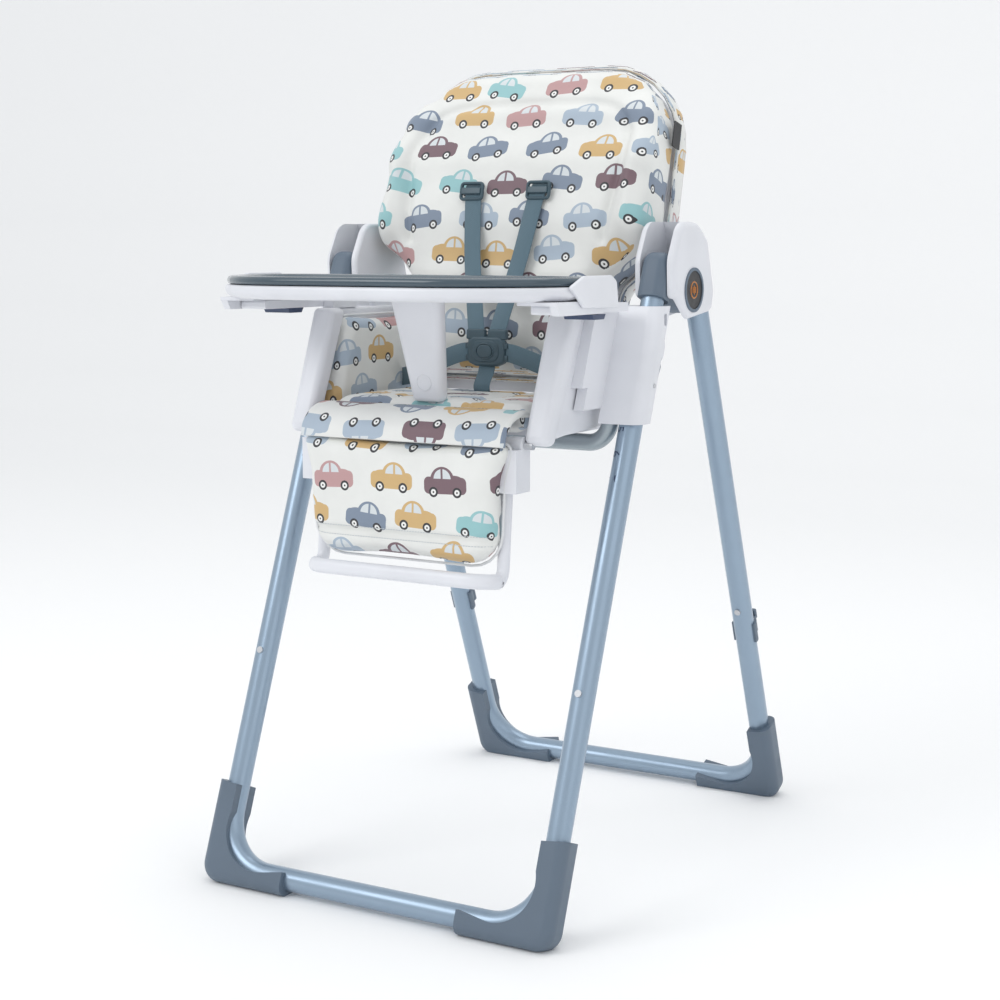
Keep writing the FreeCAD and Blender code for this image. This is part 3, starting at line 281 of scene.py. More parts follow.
WHITE = moulded("white moulding", (0.74, 0.75, 0.79), 0.36, coat_weight=0.08)
SLATE = moulded("slate moulding", (0.115, 0.155, 0.205), 0.46, grain=1300, relief=0.25)
NAVY = moulded("navy moulding", (0.03, 0.05, 0.11), 0.35)
BLACK = moulded("black moulding", (0.012, 0.012, 0.014), 0.4)
BUCKLE_MOULD = moulded("buckle moulding", (0.055, 0.095, 0.12), 0.38)
DARK_GLOSS = moulded("tray gloss", (0.045, 0.075, 0.10), 0.16, relief=0.02, coat_weight=0.5,
                     coat_roughness=0.06)
ORANGE = moulded("orange enamel", (0.55, 0.20, 0.04), 0.3)
BLUE_TUBE = painted_tube("blue-grey tube paint", (0.30, 0.39, 0.49))
GREY_TUBE = painted_tube("grey tube paint", (0.34, 0.39, 0.42))
STEEL = painted_tube("zinc steel", (0.55, 0.56, 0.58))
WEBBING = woven("webbing", (0.105, 0.175, 0.22))
THREAD = moulded("thread", (0.55, 0.58, 0.60), 0.7)
PIPING = moulded("white piping", (0.72, 0.73, 0.74), 0.5, grain=600)
PRINT = printed_cloth("car print cloth")

BY_SLOT = {"white_plastic": WHITE, "slate_plastic": SLATE, "navy_plastic": NAVY,
           "black_plastic": BLACK, "buckle_plastic": BUCKLE_MOULD, "tray_plastic": DARK_GLOSS,
           "blue_tube": BLUE_TUBE, "grey_tube": GREY_TUBE, "steel": STEEL, "webbing": WEBBING,
           "printed_fabric": PRINT}


def dress_cad_nodes():
    """Every CAD node gets its finish, and smooth shading with its sharp edges kept."""
    for part in frame["record"]["subparts"]:
        node = nodes[part["node"]]
        node.data.materials.clear()
        node.data.materials.append(BY_SLOT[part["material_slot"]])
        node.data.polygons.foreach_set("use_smooth", [True] * len(node.data.polygons))
        node.modifiers.new("weld", "WELD").merge_threshold = 1e-5
        split = node.modifiers.new("edges", "EDGE_SPLIT")
        split.split_angle = math.radians(32)


# ---------------------------------------------------------------- floor, lights and camera
def studio():
    """A pale floor that rises behind, soft lights, and the camera."""
    bpy.ops.mesh.primitive_plane_add(size=1)
    floor = bpy.context.object
    floor.name = "floor"
    rise = bmesh.new()
    profile = [(-6, 0), (3.2, 0)] + [(3.2 + math.sin(a) * 1.5, 1.5 - math.cos(a) * 1.5)
                                     for a in (0.3, 0.6, 0.9, 1.2, 1.57)] + [(4.7, 6)]
    rows = [[rise.verts.new((x, y, z)) for x in (-9, 9)] for y, z in profile]
    for low, high in zip(rows, rows[1:]):
        rise.faces.new((low[0], low[1], high[1], high[0])).smooth = True
    rise.to_mesh(floor.data)
    ground = Finish("studio floor", (1.0, 1.0, 1.0), 0.9)
    ground.raise_by(ground.cloudy(4), 0.02, 0.001)
    floor.data.materials.append(ground.material)
    bpy.context.scene.view_settings.view_transform = "Standard"
    world = bpy.data.worlds.new("studio")
    world.use_nodes = True
    world.node_tree.nodes["Background"].inputs[0].default_value = (0.96, 0.98, 1.0, 1)
    world.node_tree.nodes["Background"].inputs[1].default_value = 0.82
    bpy.context.scene.world = world
    for name, spot, power, size in (("key", (-1.6, -2.8, 2.9), 34, 2.0),
                                    ("fill", (2.8, -1.4, 1.8), 7, 2.5),
                                    ("top", (0.2, 0.4, 3.2), 16, 2.2)):
        light = bpy.data.lights.new(name, "AREA")
        light.energy, light.size = power, size
        lamp = bpy.data.objects.new(name, light)
        lamp.location = spot
        aim = Vector((0, 0, 0.6)) - Vector(spot)
        lamp.rotation_euler = aim.to_track_quat("-Z", "Y").to_euler()
        bpy.context.scene.collection.objects.link(lamp)
    camera = bpy.data.cameras.new("camera")
    camera.sensor_width, camera.lens = 36, 65.63
    eye = bpy.data.objects.new("camera", camera)
    eye.location = (1.2498, -2.1824, 0.8392)
    eye.rotation_euler = (math.radians(90 - 7.99), 0, math.radians(30.09))
    bpy.context.scene.collection.objects.link(eye)
    bpy.context.scene.camera = eye


dress_cad_nodes()
studio()


# ---------------------------------------------------------------- making and finishing meshes
def keep(name, build, body, finish, *stands_for, sharp=35):
    """Turns a finished bmesh into a piece that rides on a body and stands for CAD nodes."""
    bmesh.ops.recalc_face_normals(build, faces=build.faces)
    for face in build.faces:
        face.smooth = True
    for edge in build.edges:
        edge.smooth = len(edge.link_faces) == 2 and edge.calc_face_angle(0) < math.radians(sharp)
    mesh = bpy.data.meshes.new(name)
    build.to_mesh(mesh)
    build.free()
    return adopt(name, mesh, body, finish, *stands_for)


def adopt(name, mesh, body, finish, *stands_for):
    piece = bpy.data.objects.new(name, mesh)
    bpy.context.scene.collection.objects.link(piece)
    mesh.materials.clear()
    mesh.materials.append(finish)
    if body:
        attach(piece, body)
    if stands_for:
        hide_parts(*stands_for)
    return piece


def baked(piece):
    """The piece's mesh with its modifiers worked out."""
    graph = bpy.context.evaluated_depsgraph_get()
    mesh = bpy.data.meshes.new_from_object(piece.evaluated_get(graph))
    piece.modifiers.clear()
    return mesh


def outline(corners, inset=0.0, steps=7):
    """Points round a closed outline of (x, y, radius) corners, moved inwards by inset."""
    spots = [Vector(corner[:2]) for corner in corners]
    count = len(spots)
    area = sum(spots[i - 1].cross(spots[i]) for i in range(count))
    turn = 1 if area > 0 else -1
    points = []
    for i, corner in enumerate(corners):
        into = (spots[i] - spots[i - 1]).normalized()
        out = (spots[(i + 1) % count] - spots[i]).normalized()
        inward = Vector((-into.y, into.x)) * turn, Vector((-out.y, out.x)) * turn
        spot = spots[i] + (inward[0] + inward[1]) * (inset / (1 + inward[0].dot(inward[1])))
        convex = into.cross(out) * turn > 0
        radius = max(corner[2] + (-inset if convex else inset), 0.0004)
        swing = into.angle(out)
        start = spot - into * radius * math.tan(swing / 2)
        centre = start + inward[0] * (radius if convex else -radius)
        spin = swing * turn * (1 if convex else -1)
        for k in range(steps + 1):
            points.append(centre + Matrix.Rotation(spin * k / steps, 2) @ (start - centre))
    return points


def oblong(half, low, high, radius):
    """The rounded corners of a rectangle, 2 x half wide."""
    return [(-half, low, radius), (half, low, radius), (half, high, radius), (-half, high, radius)]


def stack(corners, rings, place):
    """A closed solid of stacked outlines; each ring is (inset, height)."""
    build = bmesh.new()
    loops = [[build.verts.new(place(p.x, p.y, height)) for p in outline(corners, inset)]
             for inset, height in rings]
    for below, above in zip(loops, loops[1:]):
        for i in range(len(below)):
            build.faces.new((below[i - 1], below[i], above[i], above[i - 1]))
    build.faces.new(loops[0][::-1])
    build.faces.new(loops[-1])
    return build


def join(*builds):
    whole = bmesh.new()
    for build in builds:
        mesh = bpy.data.meshes.new("part")
        build.to_mesh(mesh)
        build.free()
        whole.from_mesh(mesh)
        bpy.data.meshes.remove(mesh)
    return whole


def rounded_rings(low, high, radius, steps=5):
    """Rings for a slab from low to high whose rims are rounded by radius."""
    arc = [(radius * (1 - math.sin(a)), radius * (1 - math.cos(a)))
           for a in (math.pi / 2 * k / steps for k in range(steps + 1))]
    return [(inset, low + rise) for inset, rise in arc] + \
        [(inset, high - rise) for inset, rise in reversed(arc)]


def smooth_path(spots, per=8):
    """Catmull-Rom points through the spots."""
    spots = [Vector(s) for s in spots]
    ends = [spots[0] * 2 - spots[1], *spots, spots[-1] * 2 - spots[-2]]
    points = []
    for a, b, c, e in zip(ends, ends[1:], ends[2:], ends[3:]):
        for k in range(per):
            t = k / per
            points.append(0.5 * (2 * b + (c - a) * t + (2 * a - 5 * b + 4 * c - e) * t * t
                                 + (3 * b - a - 3 * c + e) * t ** 3))
    return points + [spots[-1]]


def sweep(points, section, across, closed=False):
    """A section of (sideways, outwards) points swept along a path, with UV in metres."""
    build = bmesh.new()
    cloth = build.loops.layers.uv.new("cloth")
    loops, travel = [], [0.0]
    for i, point in enumerate(points):
        ahead, behind = points[(i + 1) % len(points)], points[i - 1]
        if not closed:
            ahead, behind = points[min(i + 1, len(points) - 1)], points[max(i - 1, 0)]
        run = (ahead - behind).normalized()
        side = across(i / (len(points) - 1)) if callable(across) else Vector(across)
        side = (side - run * side.dot(run)).normalized()
        lift = side.cross(run)
        loops.append([build.verts.new(point + side * a + lift * b) for a, b in section])
        if i:
            travel.append(travel[-1] + (point - points[i - 1]).length)
    girth = [0.0]
    for a, b in zip(section, (*section[1:], section[0])):
        girth.append(girth[-1] + math.dist(a, b))
    pairs = list(zip(range(len(loops)), range(1, len(loops))))
    if closed:
        pairs.append((len(loops) - 1, 0))
    for low, high in pairs:
        for i in range(len(section)):
            j = (i + 1) % len(section)
            face = build.faces.new((loops[low][i], loops[low][j], loops[high][j], loops[high][i]))
            for loop, (u, v) in zip(face.loops, ((i, low), (i + 1, low), (i + 1, high), (i, high))):
                loop[cloth].uv = girth[u], travel[v]
    if not closed:
        build.faces.new(loops[0][::-1])
        build.faces.new(loops[-1])
    return build


def flat_section(width, thickness, steps=3):
    """The section of a strap: a flat bar with rounded edges."""
    r = thickness / 2
    half = width / 2 - r
    right = [(half + r * math.sin(a), -r * math.cos(a))
             for a in (math.pi * k / steps for k in range(steps + 1))]
    return right + [(-x, -y) for x, y in right]


def round_section(radius, count=10, squash=1.0):
    return [(radius * math.cos(math.tau * k / count), radius * squash * math.sin(math.tau * k / count))
            for k in range(count)]


def stitch_tree():
    """Geometry Nodes: short threads laid along a curve."""
    tree = bpy.data.node_groups.new("stitches", "GeometryNodeTree")
    tree.interface.new_socket("Line", in_out="INPUT", socket_type="NodeSocketGeometry")
    for name, value in (("Pitch", 0.004), ("Thread Radius", 0.0005), ("Stitch Length", 0.0027)):
        socket = tree.interface.new_socket(name, in_out="INPUT", socket_type="NodeSocketFloat")
        socket.default_value = value
    tree.interface.new_socket("Thread", in_out="INPUT", socket_type="NodeSocketMaterial")
    tree.interface.new_socket("Stitches", in_out="OUTPUT", socket_type="NodeSocketGeometry")
    new, link = tree.nodes.new, tree.links.new
    given, made = new("NodeGroupInput"), new("NodeGroupOutput")
    spaced = new("GeometryNodeResampleCurve")
    spaced.mode = "LENGTH"
    thread = new("GeometryNodeMeshCylinder")
    thread.inputs["Vertices"].default_value = 6
    placed, turned = new("GeometryNodeInstanceOnPoints"), new("FunctionNodeAlignEulerToVector")
    turned.axis = "Z"
    tangent = new("GeometryNodeInputTangent")
    real, colored = new("GeometryNodeRealizeInstances"), new("GeometryNodeSetMaterial")
    link(given.outputs["Line"], spaced.inputs["Curve"])
    link(given.outputs["Pitch"], spaced.inputs["Length"])
    link(given.outputs["Thread Radius"], thread.inputs["Radius"])
    link(given.outputs["Stitch Length"], thread.inputs["Depth"])
    link(tangent.outputs[0], turned.inputs["Vector"])
    link(spaced.outputs[0], placed.inputs["Points"])
    link(thread.outputs[0], placed.inputs["Instance"])
    link(turned.outputs[0], placed.inputs["Rotation"])
    link(placed.outputs[0], real.inputs[0])
    link(real.outputs[0], colored.inputs["Geometry"])
    link(given.outputs["Thread"], colored.inputs["Material"])
    link(colored.outputs[0], made.inputs[0])
    return tree


STITCHES = stitch_tree()


def stitch(name, lines, body, pitch=0.004, radius=0.0005, closed=False):
    """Threads along one or more lines of points, as one piece on a body."""
    curve = bpy.data.curves.new(name, "CURVE")
    curve.dimensions = "3D"
    for line in lines:
        spline = curve.splines.new("POLY")
        spline.points.add(len(line) - 1)
        for point, spot in zip(spline.points, line):
            point.co = (*spot, 1)
        spline.use_cyclic_u = closed
    guide = bpy.data.objects.new(f"{name}_line", curve)
    bpy.context.scene.collection.objects.link(guide)
    modifier = guide.modifiers.new("stitches", "NODES")
    modifier.node_group = STITCHES
    sockets = {item.name: item.identifier for item in STITCHES.interface.items_tree}
    modifier[sockets["Pitch"]] = pitch
    modifier[sockets["Thread Radius"]] = radius
    modifier[sockets["Stitch Length"]] = pitch * 0.68
    modifier[sockets["Thread"]] = THREAD
    mesh = baked(guide)
    bpy.data.objects.remove(guide)
    return adopt(name, mesh, body, THREAD)


# ---------------------------------------------------------------- padded cloth
def prism(points, low, high, place):
    build = bmesh.new()
    floors = [[build.verts.new(place(p.x, p.y, h)) for p in points] for h in (low, high)]
    for i in range(len(points)):
        build.faces.new((floors[0][i - 1], floors[0][i], floors[1][i], floors[1][i - 1]))
    build.faces.new(floors[0][::-1])
    build.faces.new(floors[1])
    bmesh.ops.triangulate(build, faces=build.faces)
    return build


def edge_distance(point, edge):
    """How far a point of the plane is from the nearest side of an outline."""
    best = 1.0
    for a, b in zip(edge, (*edge[1:], edge[0])):
        side = b - a
        reach = max(0, min(1, (point - a).dot(side) / max(side.dot(side), 1e-12)))
        best = min(best, (point - a - side * reach).length)
    return best


def line_distance(point, line):
    best = 1.0
    for a, b in zip(line, line[1:]):
        side = b - a
        reach = max(0, min(1, (point - a).dot(side) / max(side.dot(side), 1e-12)))
        best = min(best, (point - a - side * reach).length)
    return best


def smoothstep(t):
    t = max(0, min(1, t))
    return t * t * (3 - 2 * t)


def swell(piece, pressure, cap):
    """The cover swells under pressure as cloth, no point moving further than cap."""
    start = [v.co.copy() for v in piece.data.vertices]
    cloth = piece.modifiers.new("swell", "CLOTH")
    settings = cloth.settings
    settings.use_pressure = True
    settings.uniform_pressure_force = pressure
    settings.effector_weights.gravity = 0
    settings.quality = 5
    settings.mass = 0.2
    settings.tension_stiffness = settings.compression_stiffness = 12
    settings.bending_stiffness = 0.3
    cloth.point_cache.frame_start, cloth.point_cache.frame_end = 1, 20
    scene = bpy.context.scene
    for step in range(1, 21):
        scene.frame_set(step)
    mesh = baked(piece)
    moved = [v.co.copy() for v in mesh.vertices]
    bpy.data.meshes.remove(mesh)
    for vertex, a, b in zip(piece.data.vertices, start, moved):
        step = (b - a) * Vector((0.25, 0.25, 1))
        vertex.co = a + step * min(1, cap / max(step.length, 1e-9))
    scene.frame_set(1)


def pad(name, corners, thickness, place, body, *stands_for, voxel=0.005, edge_share=0.5, crown=0.03,
        lean=None, seams=(), seam_depth=0.004, seam_width=0.006, cap=0.006, fill=0.7, wrinkle=0.0012,
        shift=(0, 0)):
    """A stuffed cover: its outline is in its own plane, and its front faces along -depth.

    place(a, b, depth) gives a point; depth runs from -thickness (front) to 0 (back). lean(a, b)
    moves the front by more. Seams are lines in the plane, pulled in after the cover has swollen.
    """
    edge = outline(corners, 0.0, 5)
    smaller = outline(corners, 0.003, 5)
    build = prism(smaller, -thickness, 0.0, lambda a, b, h: Vector((a, b, h)))
    mesh = bpy.data.meshes.new(name)
    build.to_mesh(mesh)
    build.free()
    piece = bpy.data.objects.new(name, mesh)
    bpy.context.scene.collection.objects.link(piece)
    remesh = piece.modifiers.new("voxels", "REMESH")
    remesh.mode, remesh.voxel_size = "VOXEL", voxel
    piece.data = baked(piece)
    for vertex in piece.data.vertices:
        a, b, depth = vertex.co
        share = min(1, edge_distance(Vector((a, b)), edge) / crown)
        full = edge_share + (1 - edge_share) * math.sqrt(max(0, 1 - (1 - share) ** 2))
        vertex.co.z = depth * full - (lean(a, b) * -depth / thickness if lean else 0)
    swell(piece, 4, cap)
    finer = piece.modifiers.new("finer", "SUBSURF")
    finer.levels = finer.render_levels = 1
    piece.data = mesh = baked(piece)
    lines = [[Vector(p) for p in seam] for seam in seams]
    for vertex in mesh.vertices:
        a, b, depth = vertex.co
        front = smoothstep(-depth / thickness * 2)
        dip = 0
        for line in lines:
            gap = line_distance(Vector((a, b)), line) / seam_width
            if gap < 3:
                dip = max(dip, math.exp(-gap * gap))
        fold = noise.noise(Vector((a * 17, b * 11, depth * 5))) * wrinkle
        vertex.co.z += (dip * seam_depth + fold) * front
    cover = mesh.uv_layers.new(name="cloth")
    mesh.update()
    normals = [v.normal.copy() for v in mesh.vertices]
    for loop in mesh.loops:
        spot, normal = mesh.vertices[loop.vertex_index].co, normals[loop.vertex_index]
        aside = smoothstep((math.hypot(normal.x, normal.y) - 0.55) / 0.35)
        if aside:
            aside *= 1 - smoothstep((edge_distance(Vector((spot.x, spot.y)), edge) - 0.005) / 0.010)
        reach = (thickness + spot.z - (lean(spot.x, spot.y) if lean else 0)) * aside
        cover.data[loop.index].uv = (spot.x + normal.x * reach + shift[0],
                                     spot.y + normal.y * reach + shift[1])
    for vertex in mesh.vertices:
        vertex.co = place(*vertex.co)
    mesh.polygons.foreach_set("use_smooth", [True] * len(mesh.polygons))
    build = bmesh.new()
    build.from_mesh(mesh)
    bmesh.ops.recalc_face_normals(build, faces=build.faces)
    build.to_mesh(mesh)
    build.free()
    mesh.materials.clear()
    mesh.materials.append(PRINT)
    if body:
        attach(piece, body)
    if stands_for:
        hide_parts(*stands_for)
    return piece


def surface(piece, start, way):
    """Where a ray from start along way meets the piece, or start."""
    hit, spot, normal, index = piece.ray_cast(Vector(start), Vector(way))
    return spot if hit else Vector(start)


# ---------------------------------------------------------------- places on the chair
def level(x, y, z):
    """A point in metres from the folding pivot's height and depth."""
    return PIVOT + Vector((x, y, z))


BACK_ORIGIN = level(0, 0.004, -0.135)
BACK_DEEP = Vector((0, math.cos(BACK_LEAN), -math.sin(BACK_LEAN)))


def on_back(x, up, depth):
    return BACK_ORIGIN + Vector((x, 0, 0)) + BACK_AXIS * up + BACK_DEEP * depth


# ---------------------------------------------------------------- cushions
BACK_OUTLINE = [(-0.151, 0.006, 0.02), (0.151, 0.006, 0.02), (0.152, 0.132, 0.03),
                (0.212, 0.188, 0.03), (0.212, 0.448, 0.118), (-0.212, 0.448, 0.118),
                (-0.212, 0.188, 0.03), (-0.152, 0.132, 0.03)]
BACK_DEPTHS = ((0, 0.030), (0.08, 0.048), (0.15, 0.076), (0.215, 0.086), (0.29, 0.078),
               (0.36, 0.056), (0.42, 0.036), (0.46, 0.026))


def back_depth(up):
    """How thick the backrest's cushion is at a height."""
    for (a, thin), (b, thick) in zip(BACK_DEPTHS, BACK_DEPTHS[1:]):
        if up < b:
            return thin + (thick - thin) * smoothstep((up - a) / (b - a))
    return BACK_DEPTHS[-1][1]


def wing(x, up):
    """How much thinner the cushion is than its thickest, less where its sides curl forward."""
    side = smoothstep((abs(x) - 0.15) / 0.05)
    curl = 0.012 * side * smoothstep((up - 0.17) / 0.05) * (1 - smoothstep((up - 0.30) / 0.12))
    hollow = 0.010 * (1 - side) * smoothstep((up - 0.1) / 0.1)
    return curl - hollow - (BACK_THICK - back_depth(up))


BACK_THICK = 0.086


def back_cushion():
    run = ((0.150, 0.19), (0.160, 0.25), (0.166, 0.31), (0.155, 0.352), (0.125, 0.378), (0.065, 0.386))
    seam = [(-x, up) for x, up in run] + [(x, up) for x, up in reversed(run)]
    seam = [(p.x, p.y) for p in smooth_path([(*p, 0) for p in seam], 5)]
    return pad("back_cushion", BACK_OUTLINE, BACK_THICK, lambda a, b, depth: on_back(a, b, depth),
               "backrest", "back_pad", voxel=0.006, edge_share=0.72, crown=0.05, lean=wing,
               seams=[seam], seam_depth=0.007, seam_width=0.007, cap=0.007, fill=0.7)


back = back_cushion()
pad("seat_cushion", [(-0.152, -0.236, 0.02), (0.152, -0.236, 0.02), (0.150, -0.034, 0.02),
                     (-0.150, -0.034, 0.02)], 0.026,
    lambda a, b, depth: level(a, b, -0.169 - depth), "seat", "seat_pad",
    seams=[[(-0.06, -0.24), (-0.06, -0.04)], [(0.06, -0.24), (0.06, -0.04)]],
    seam_depth=0.003, crown=0.03, edge_share=0.35, cap=0.006)
for name, side in SIDES:
    pad(f"side_cushion_{name}", [(-0.214, -0.166, 0.012), (0.020, -0.166, 0.012),
                                 (0.020, -0.034, 0.012), (-0.170, -0.034, 0.02)], 0.020,
        lambda a, b, depth, side=side: level(side * (0.180 + depth), a, b), "seat",
        f"side_pad_{name}", crown=0.02, edge_share=0.35, cap=0.005, shift=(0.03 * side, 0.01))
CALF_SEAM = -0.118
calf_cover = pad("calf_cushion", [(-0.158, 0.006, 0.012), (0.158, 0.006, 0.012), (0.145, -0.045, 0.02),
                                  (0.140, -0.153, 0.046), (-0.140, -0.153, 0.046),
                                  (-0.145, -0.045, 0.02)], 0.024,
                 lambda a, b, depth: CALF_HINGE + Vector((a, -0.013 + depth, b)), "calf_rest",
                 "calf_pad", seams=[[(-0.16, CALF_SEAM), (0.16, CALF_SEAM)]], seam_depth=0.006,
                 crown=0.03, edge_share=0.4, cap=0.006, shift=(0.01, 0.02))


# ---------------------------------------------------------------- harness
STRAP_WIDTH, STRAP_THICK, STRAP_APART, STRAP_END = 0.025, 0.0016, 0.052, 0.0165
BUCKLE = level(0, -0.070, -0.084)


def on_buckle(x, y, z):
    """A point measured from the middle of the buckle."""
    return BUCKLE + Vector((x, y, z))


def strap(name, spots, body, across, replaced):
    """Webbing along a smooth path; across is the way of its width."""
    build = sweep(smooth_path(spots, 9), flat_section(STRAP_WIDTH, STRAP_THICK), across)
    piece = keep(name, build, body, WEBBING, replaced, sharp=70)
    return piece


def shoulder_straps():
    """Both straps run from the backrest to the buckle, with a slide each near the top."""
    slides = []
    for name, side in SIDES:
        x = side * STRAP_APART
        top = surface(back, on_back(x, 0.262, -0.2), BACK_DEEP)
        mid = surface(back, on_back(x, 0.236, -0.2), BACK_DEEP)
        low = on_buckle(side * STRAP_END, -0.002, 0.026)
        spots = [top + BACK_DEEP * 0.012 + BACK_AXIS * 0.004, top - BACK_DEEP * 0.004,
                 mid - BACK_DEEP * 0.005 - Vector((side * 0.004, 0, 0)),
                 mid.lerp(low, 0.4) + Vector((0, -0.004, 0)),
                 mid.lerp(low, 0.75) + Vector((0, -0.002, 0)), low, low - Vector((0, 0, 0.018))]
        piece = strap(f"shoulder_strap_cloth_{name}", spots, None, (1, 0, 0), f"shoulder_strap_{name}")
        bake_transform(piece)
        slides.append(slide_adjuster(top.lerp(mid, 0.35) - BACK_DEEP * 0.0075))
    piece = keep("strap_slides", join(*slides), "backrest", BUCKLE_MOULD, "strap_adjusters")


def slide_adjuster(spot):
    """A plastic slide: an oblong loop with a bar across it."""
    def put(x, z, ahead=0.0):
        return spot + Vector((x, 0, 0)) + BACK_AXIS * z - BACK_DEEP * ahead

    loop = [put(p.x, p.y) for p in outline(oblong(0.0165, -0.011, 0.011, 0.004))]
    ring = sweep(loop, round_section(0.0029, 10, 0.8), BACK_DEEP, closed=True)
    bar = stack(oblong(0.015, -0.0045, 0.0045, 0.0015), rounded_rings(0.0, 0.004, 0.0012), put)
    return join(ring, bar)


def buckle_parts():
    """The side-release buckle: its case with two clips, the raised rim and the oval button."""
    def put(x, z, ahead):
        return on_buckle(x, -ahead, z)

    case = stack([(-0.029, -0.015, 0.007), (-0.017, -0.020, 0.006), (0.017, -0.020, 0.006),
                  (0.029, -0.015, 0.007), (0.029, 0.013, 0.006), (0.020, 0.020, 0.006),
                  (-0.020, 0.020, 0.006), (-0.029, 0.013, 0.006)],
                 rounded_rings(-0.006, 0.0062, 0.004), put)
    face = stack(oblong(0.021, -0.014, 0.015, 0.012), rounded_rings(0.004, 0.0078, 0.002), put)
    clips = []
    for side in (-1, 1):
        for z in (-0.0085, 0.0075):
            clips.append(stack([(side * 0.026, z - 0.0045, 0.002), (side * 0.033, z - 0.0035, 0.002),
                                (side * 0.033, z + 0.0035, 0.002), (side * 0.026, z + 0.0045, 0.002)],
                               rounded_rings(-0.004, 0.004, 0.0015), put))
        x = side * STRAP_END
        clips.append(stack([(x - 0.015, 0.016, 0.002), (x + 0.015, 0.016, 0.002),
                            (x + 0.014, 0.030, 0.003), (x - 0.014, 0.030, 0.003)],
                           rounded_rings(-0.0035, 0.0045, 0.002), put))
    rim = [put(0.0135 * math.cos(a), 0.0005 + 0.0105 * math.sin(a), 0.0078)
           for a in (math.tau * k / 32 for k in range(32))]
    rim = sweep(rim, round_section(0.0011, 8), (0, 1, 0), closed=True)
    piece = keep("buckle_case", join(case, face, *clips, rim), "seat", BUCKLE_MOULD, "buckle")
    button = stack(oblong(0.0115, -0.0080, 0.0090, 0.008), rounded_rings(0.0070, 0.0096, 0.0012), put)
    piece = keep("buckle_push", button, "buckle_button", BUCKLE_MOULD, "buckle_button")


def seat_straps():
    """The slack strap down to the seat, and the lap straps out to the sides."""
    spots = [on_buckle(0, y, z) for y, z in ((0, -0.016), (-0.004, -0.028), (-0.016, -0.046),
                                             (-0.008, -0.0585), (0.016, -0.0600), (0.030, -0.0585))]
    strap("crotch_webbing", spots, "seat", (1, 0, 0), "crotch_strap")
    run = ((0.024, 0, -0.001), (0.042, -0.001, -0.003), (0.080, 0.004, -0.016), (0.122, 0.014, -0.034),
           (0.160, 0.030, -0.042))
    for name, side in SIDES:
        spots = [on_buckle(side * x, y, z) for x, y, z in run]
        strap(f"lap_webbing_{name}", spots, "seat", (0, 0, 1), f"lap_strap_{name}")


shoulder_straps()
buckle_parts()
seat_straps()


# ---------------------------------------------------------------- tray
TRAY = [(-0.250, -0.412, 0.149), (0.250, -0.412, 0.149), (0.250, -0.197, 0.064),
        (-0.250, -0.197, 0.064)]
TRAY_TOP = [(-0.2465, -0.4105, 0.147), (0.2465, -0.4105, 0.147), (0.2465, -0.1985, 0.064),
            (-0.2465, -0.1985, 0.064)]
WING = [(-0.306, 0.009, 0.003), (-0.270, 0.022, 0.008), (-0.199, 0.022, 0.008),
        (-0.186, 0.015, 0.008), (-0.180, -0.018, 0.004), (-0.270, -0.016, 0.004),
        (-0.285, -0.005, 0.004)]


def tray():
    """The white base with its wings, and the glossy dish that lifts off it."""
    dish = stack(TRAY, [(0.040, -0.0078), (0.016, -0.0080), (0.007, -0.0062), (0.0022, -0.0025),
                        (0.0004, 0.0012), (0.0, 0.0045), (0.0008, 0.0075), (0.0030, 0.0090),
                        (0.0065, 0.0092), (0.0090, 0.0080), (0.0105, 0.002), (0.014, -0.0035)],
                 lambda a, b, h: level(a, b, h))
    wings = [stack(WING, rounded_rings(0.2462, 0.2522, 0.0024),
                   lambda a, b, h, side=side: level(side * h, a, b)) for _, side in SIDES]
    piece = keep("tray_body", join(dish, *wings), "tray", WHITE, "tray_base", sharp=50)
    top = stack(TRAY_TOP, [(0.014, 0.0096), (0.004, 0.0097), (0.0012, 0.0108), (0.0, 0.0135),
                           (0.0004, 0.0165), (0.0022, 0.0192), (0.0055, 0.0203), (0.0100, 0.0203),
                           (0.0140, 0.0190), (0.0185, 0.0160), (0.0240, 0.0138), (0.031, 0.0131)],
                lambda a, b, h: level(a, b, h))
    piece = keep("tray_dish", top, "tray_insert", DARK_GLOSS, "tray_insert", sharp=60)


def post():
    """The guard between the legs, tapering down, with a plain moulded ring on its face."""
    build = bmesh.new()
    loops = []
    steps = 12
    for k in range(steps + 4):
        t = min(1, k / steps)
        close = max(0, k - steps) / 3
        half = 0.038 + (0.0235 - 0.038) * t - 0.007 * close ** 2
        deep = 0.011 - 0.006 * close ** 2
        y, z = -0.244 + 0.029 * t, -0.0082 - 0.1268 * t - 0.006 * math.sin(close * math.pi / 2)
        ring = outline([(-half, -deep, 0.0098), (half, -deep, 0.0098), (half, deep, 0.0098),
                        (-half, deep, 0.0098)] if not close else
                       [(-half, -deep, deep * 0.9), (half, -deep, deep * 0.9), (half, deep, deep * 0.9),
                        (-half, deep, deep * 0.9)])
        loops.append([build.verts.new(level(p.x, y + p.y, z)) for p in ring])
    for a, b in zip(loops, loops[1:]):
        for i in range(len(a)):
            build.faces.new((a[i - 1], a[i], b[i], b[i - 1]))
    build.faces.new(loops[0])
    build.faces.new(loops[-1][::-1])
    centre = level(0, -0.2302, -0.116)
    slope = Vector((0, 0.029, -0.1268)).normalized()
    circle = [centre + Vector((0.0105 * math.cos(a), 0, 0)) + slope * 0.0105 * math.sin(a)
              for a in (math.tau * k / 40 for k in range(40))]
    ring = sweep(circle, round_section(0.0009, 8), Vector((1, 0, 0)).cross(slope), closed=True)
    piece = keep("leg_guard", join(build, ring), "tray", WHITE, "crotch_post", sharp=55)


tray()
post()


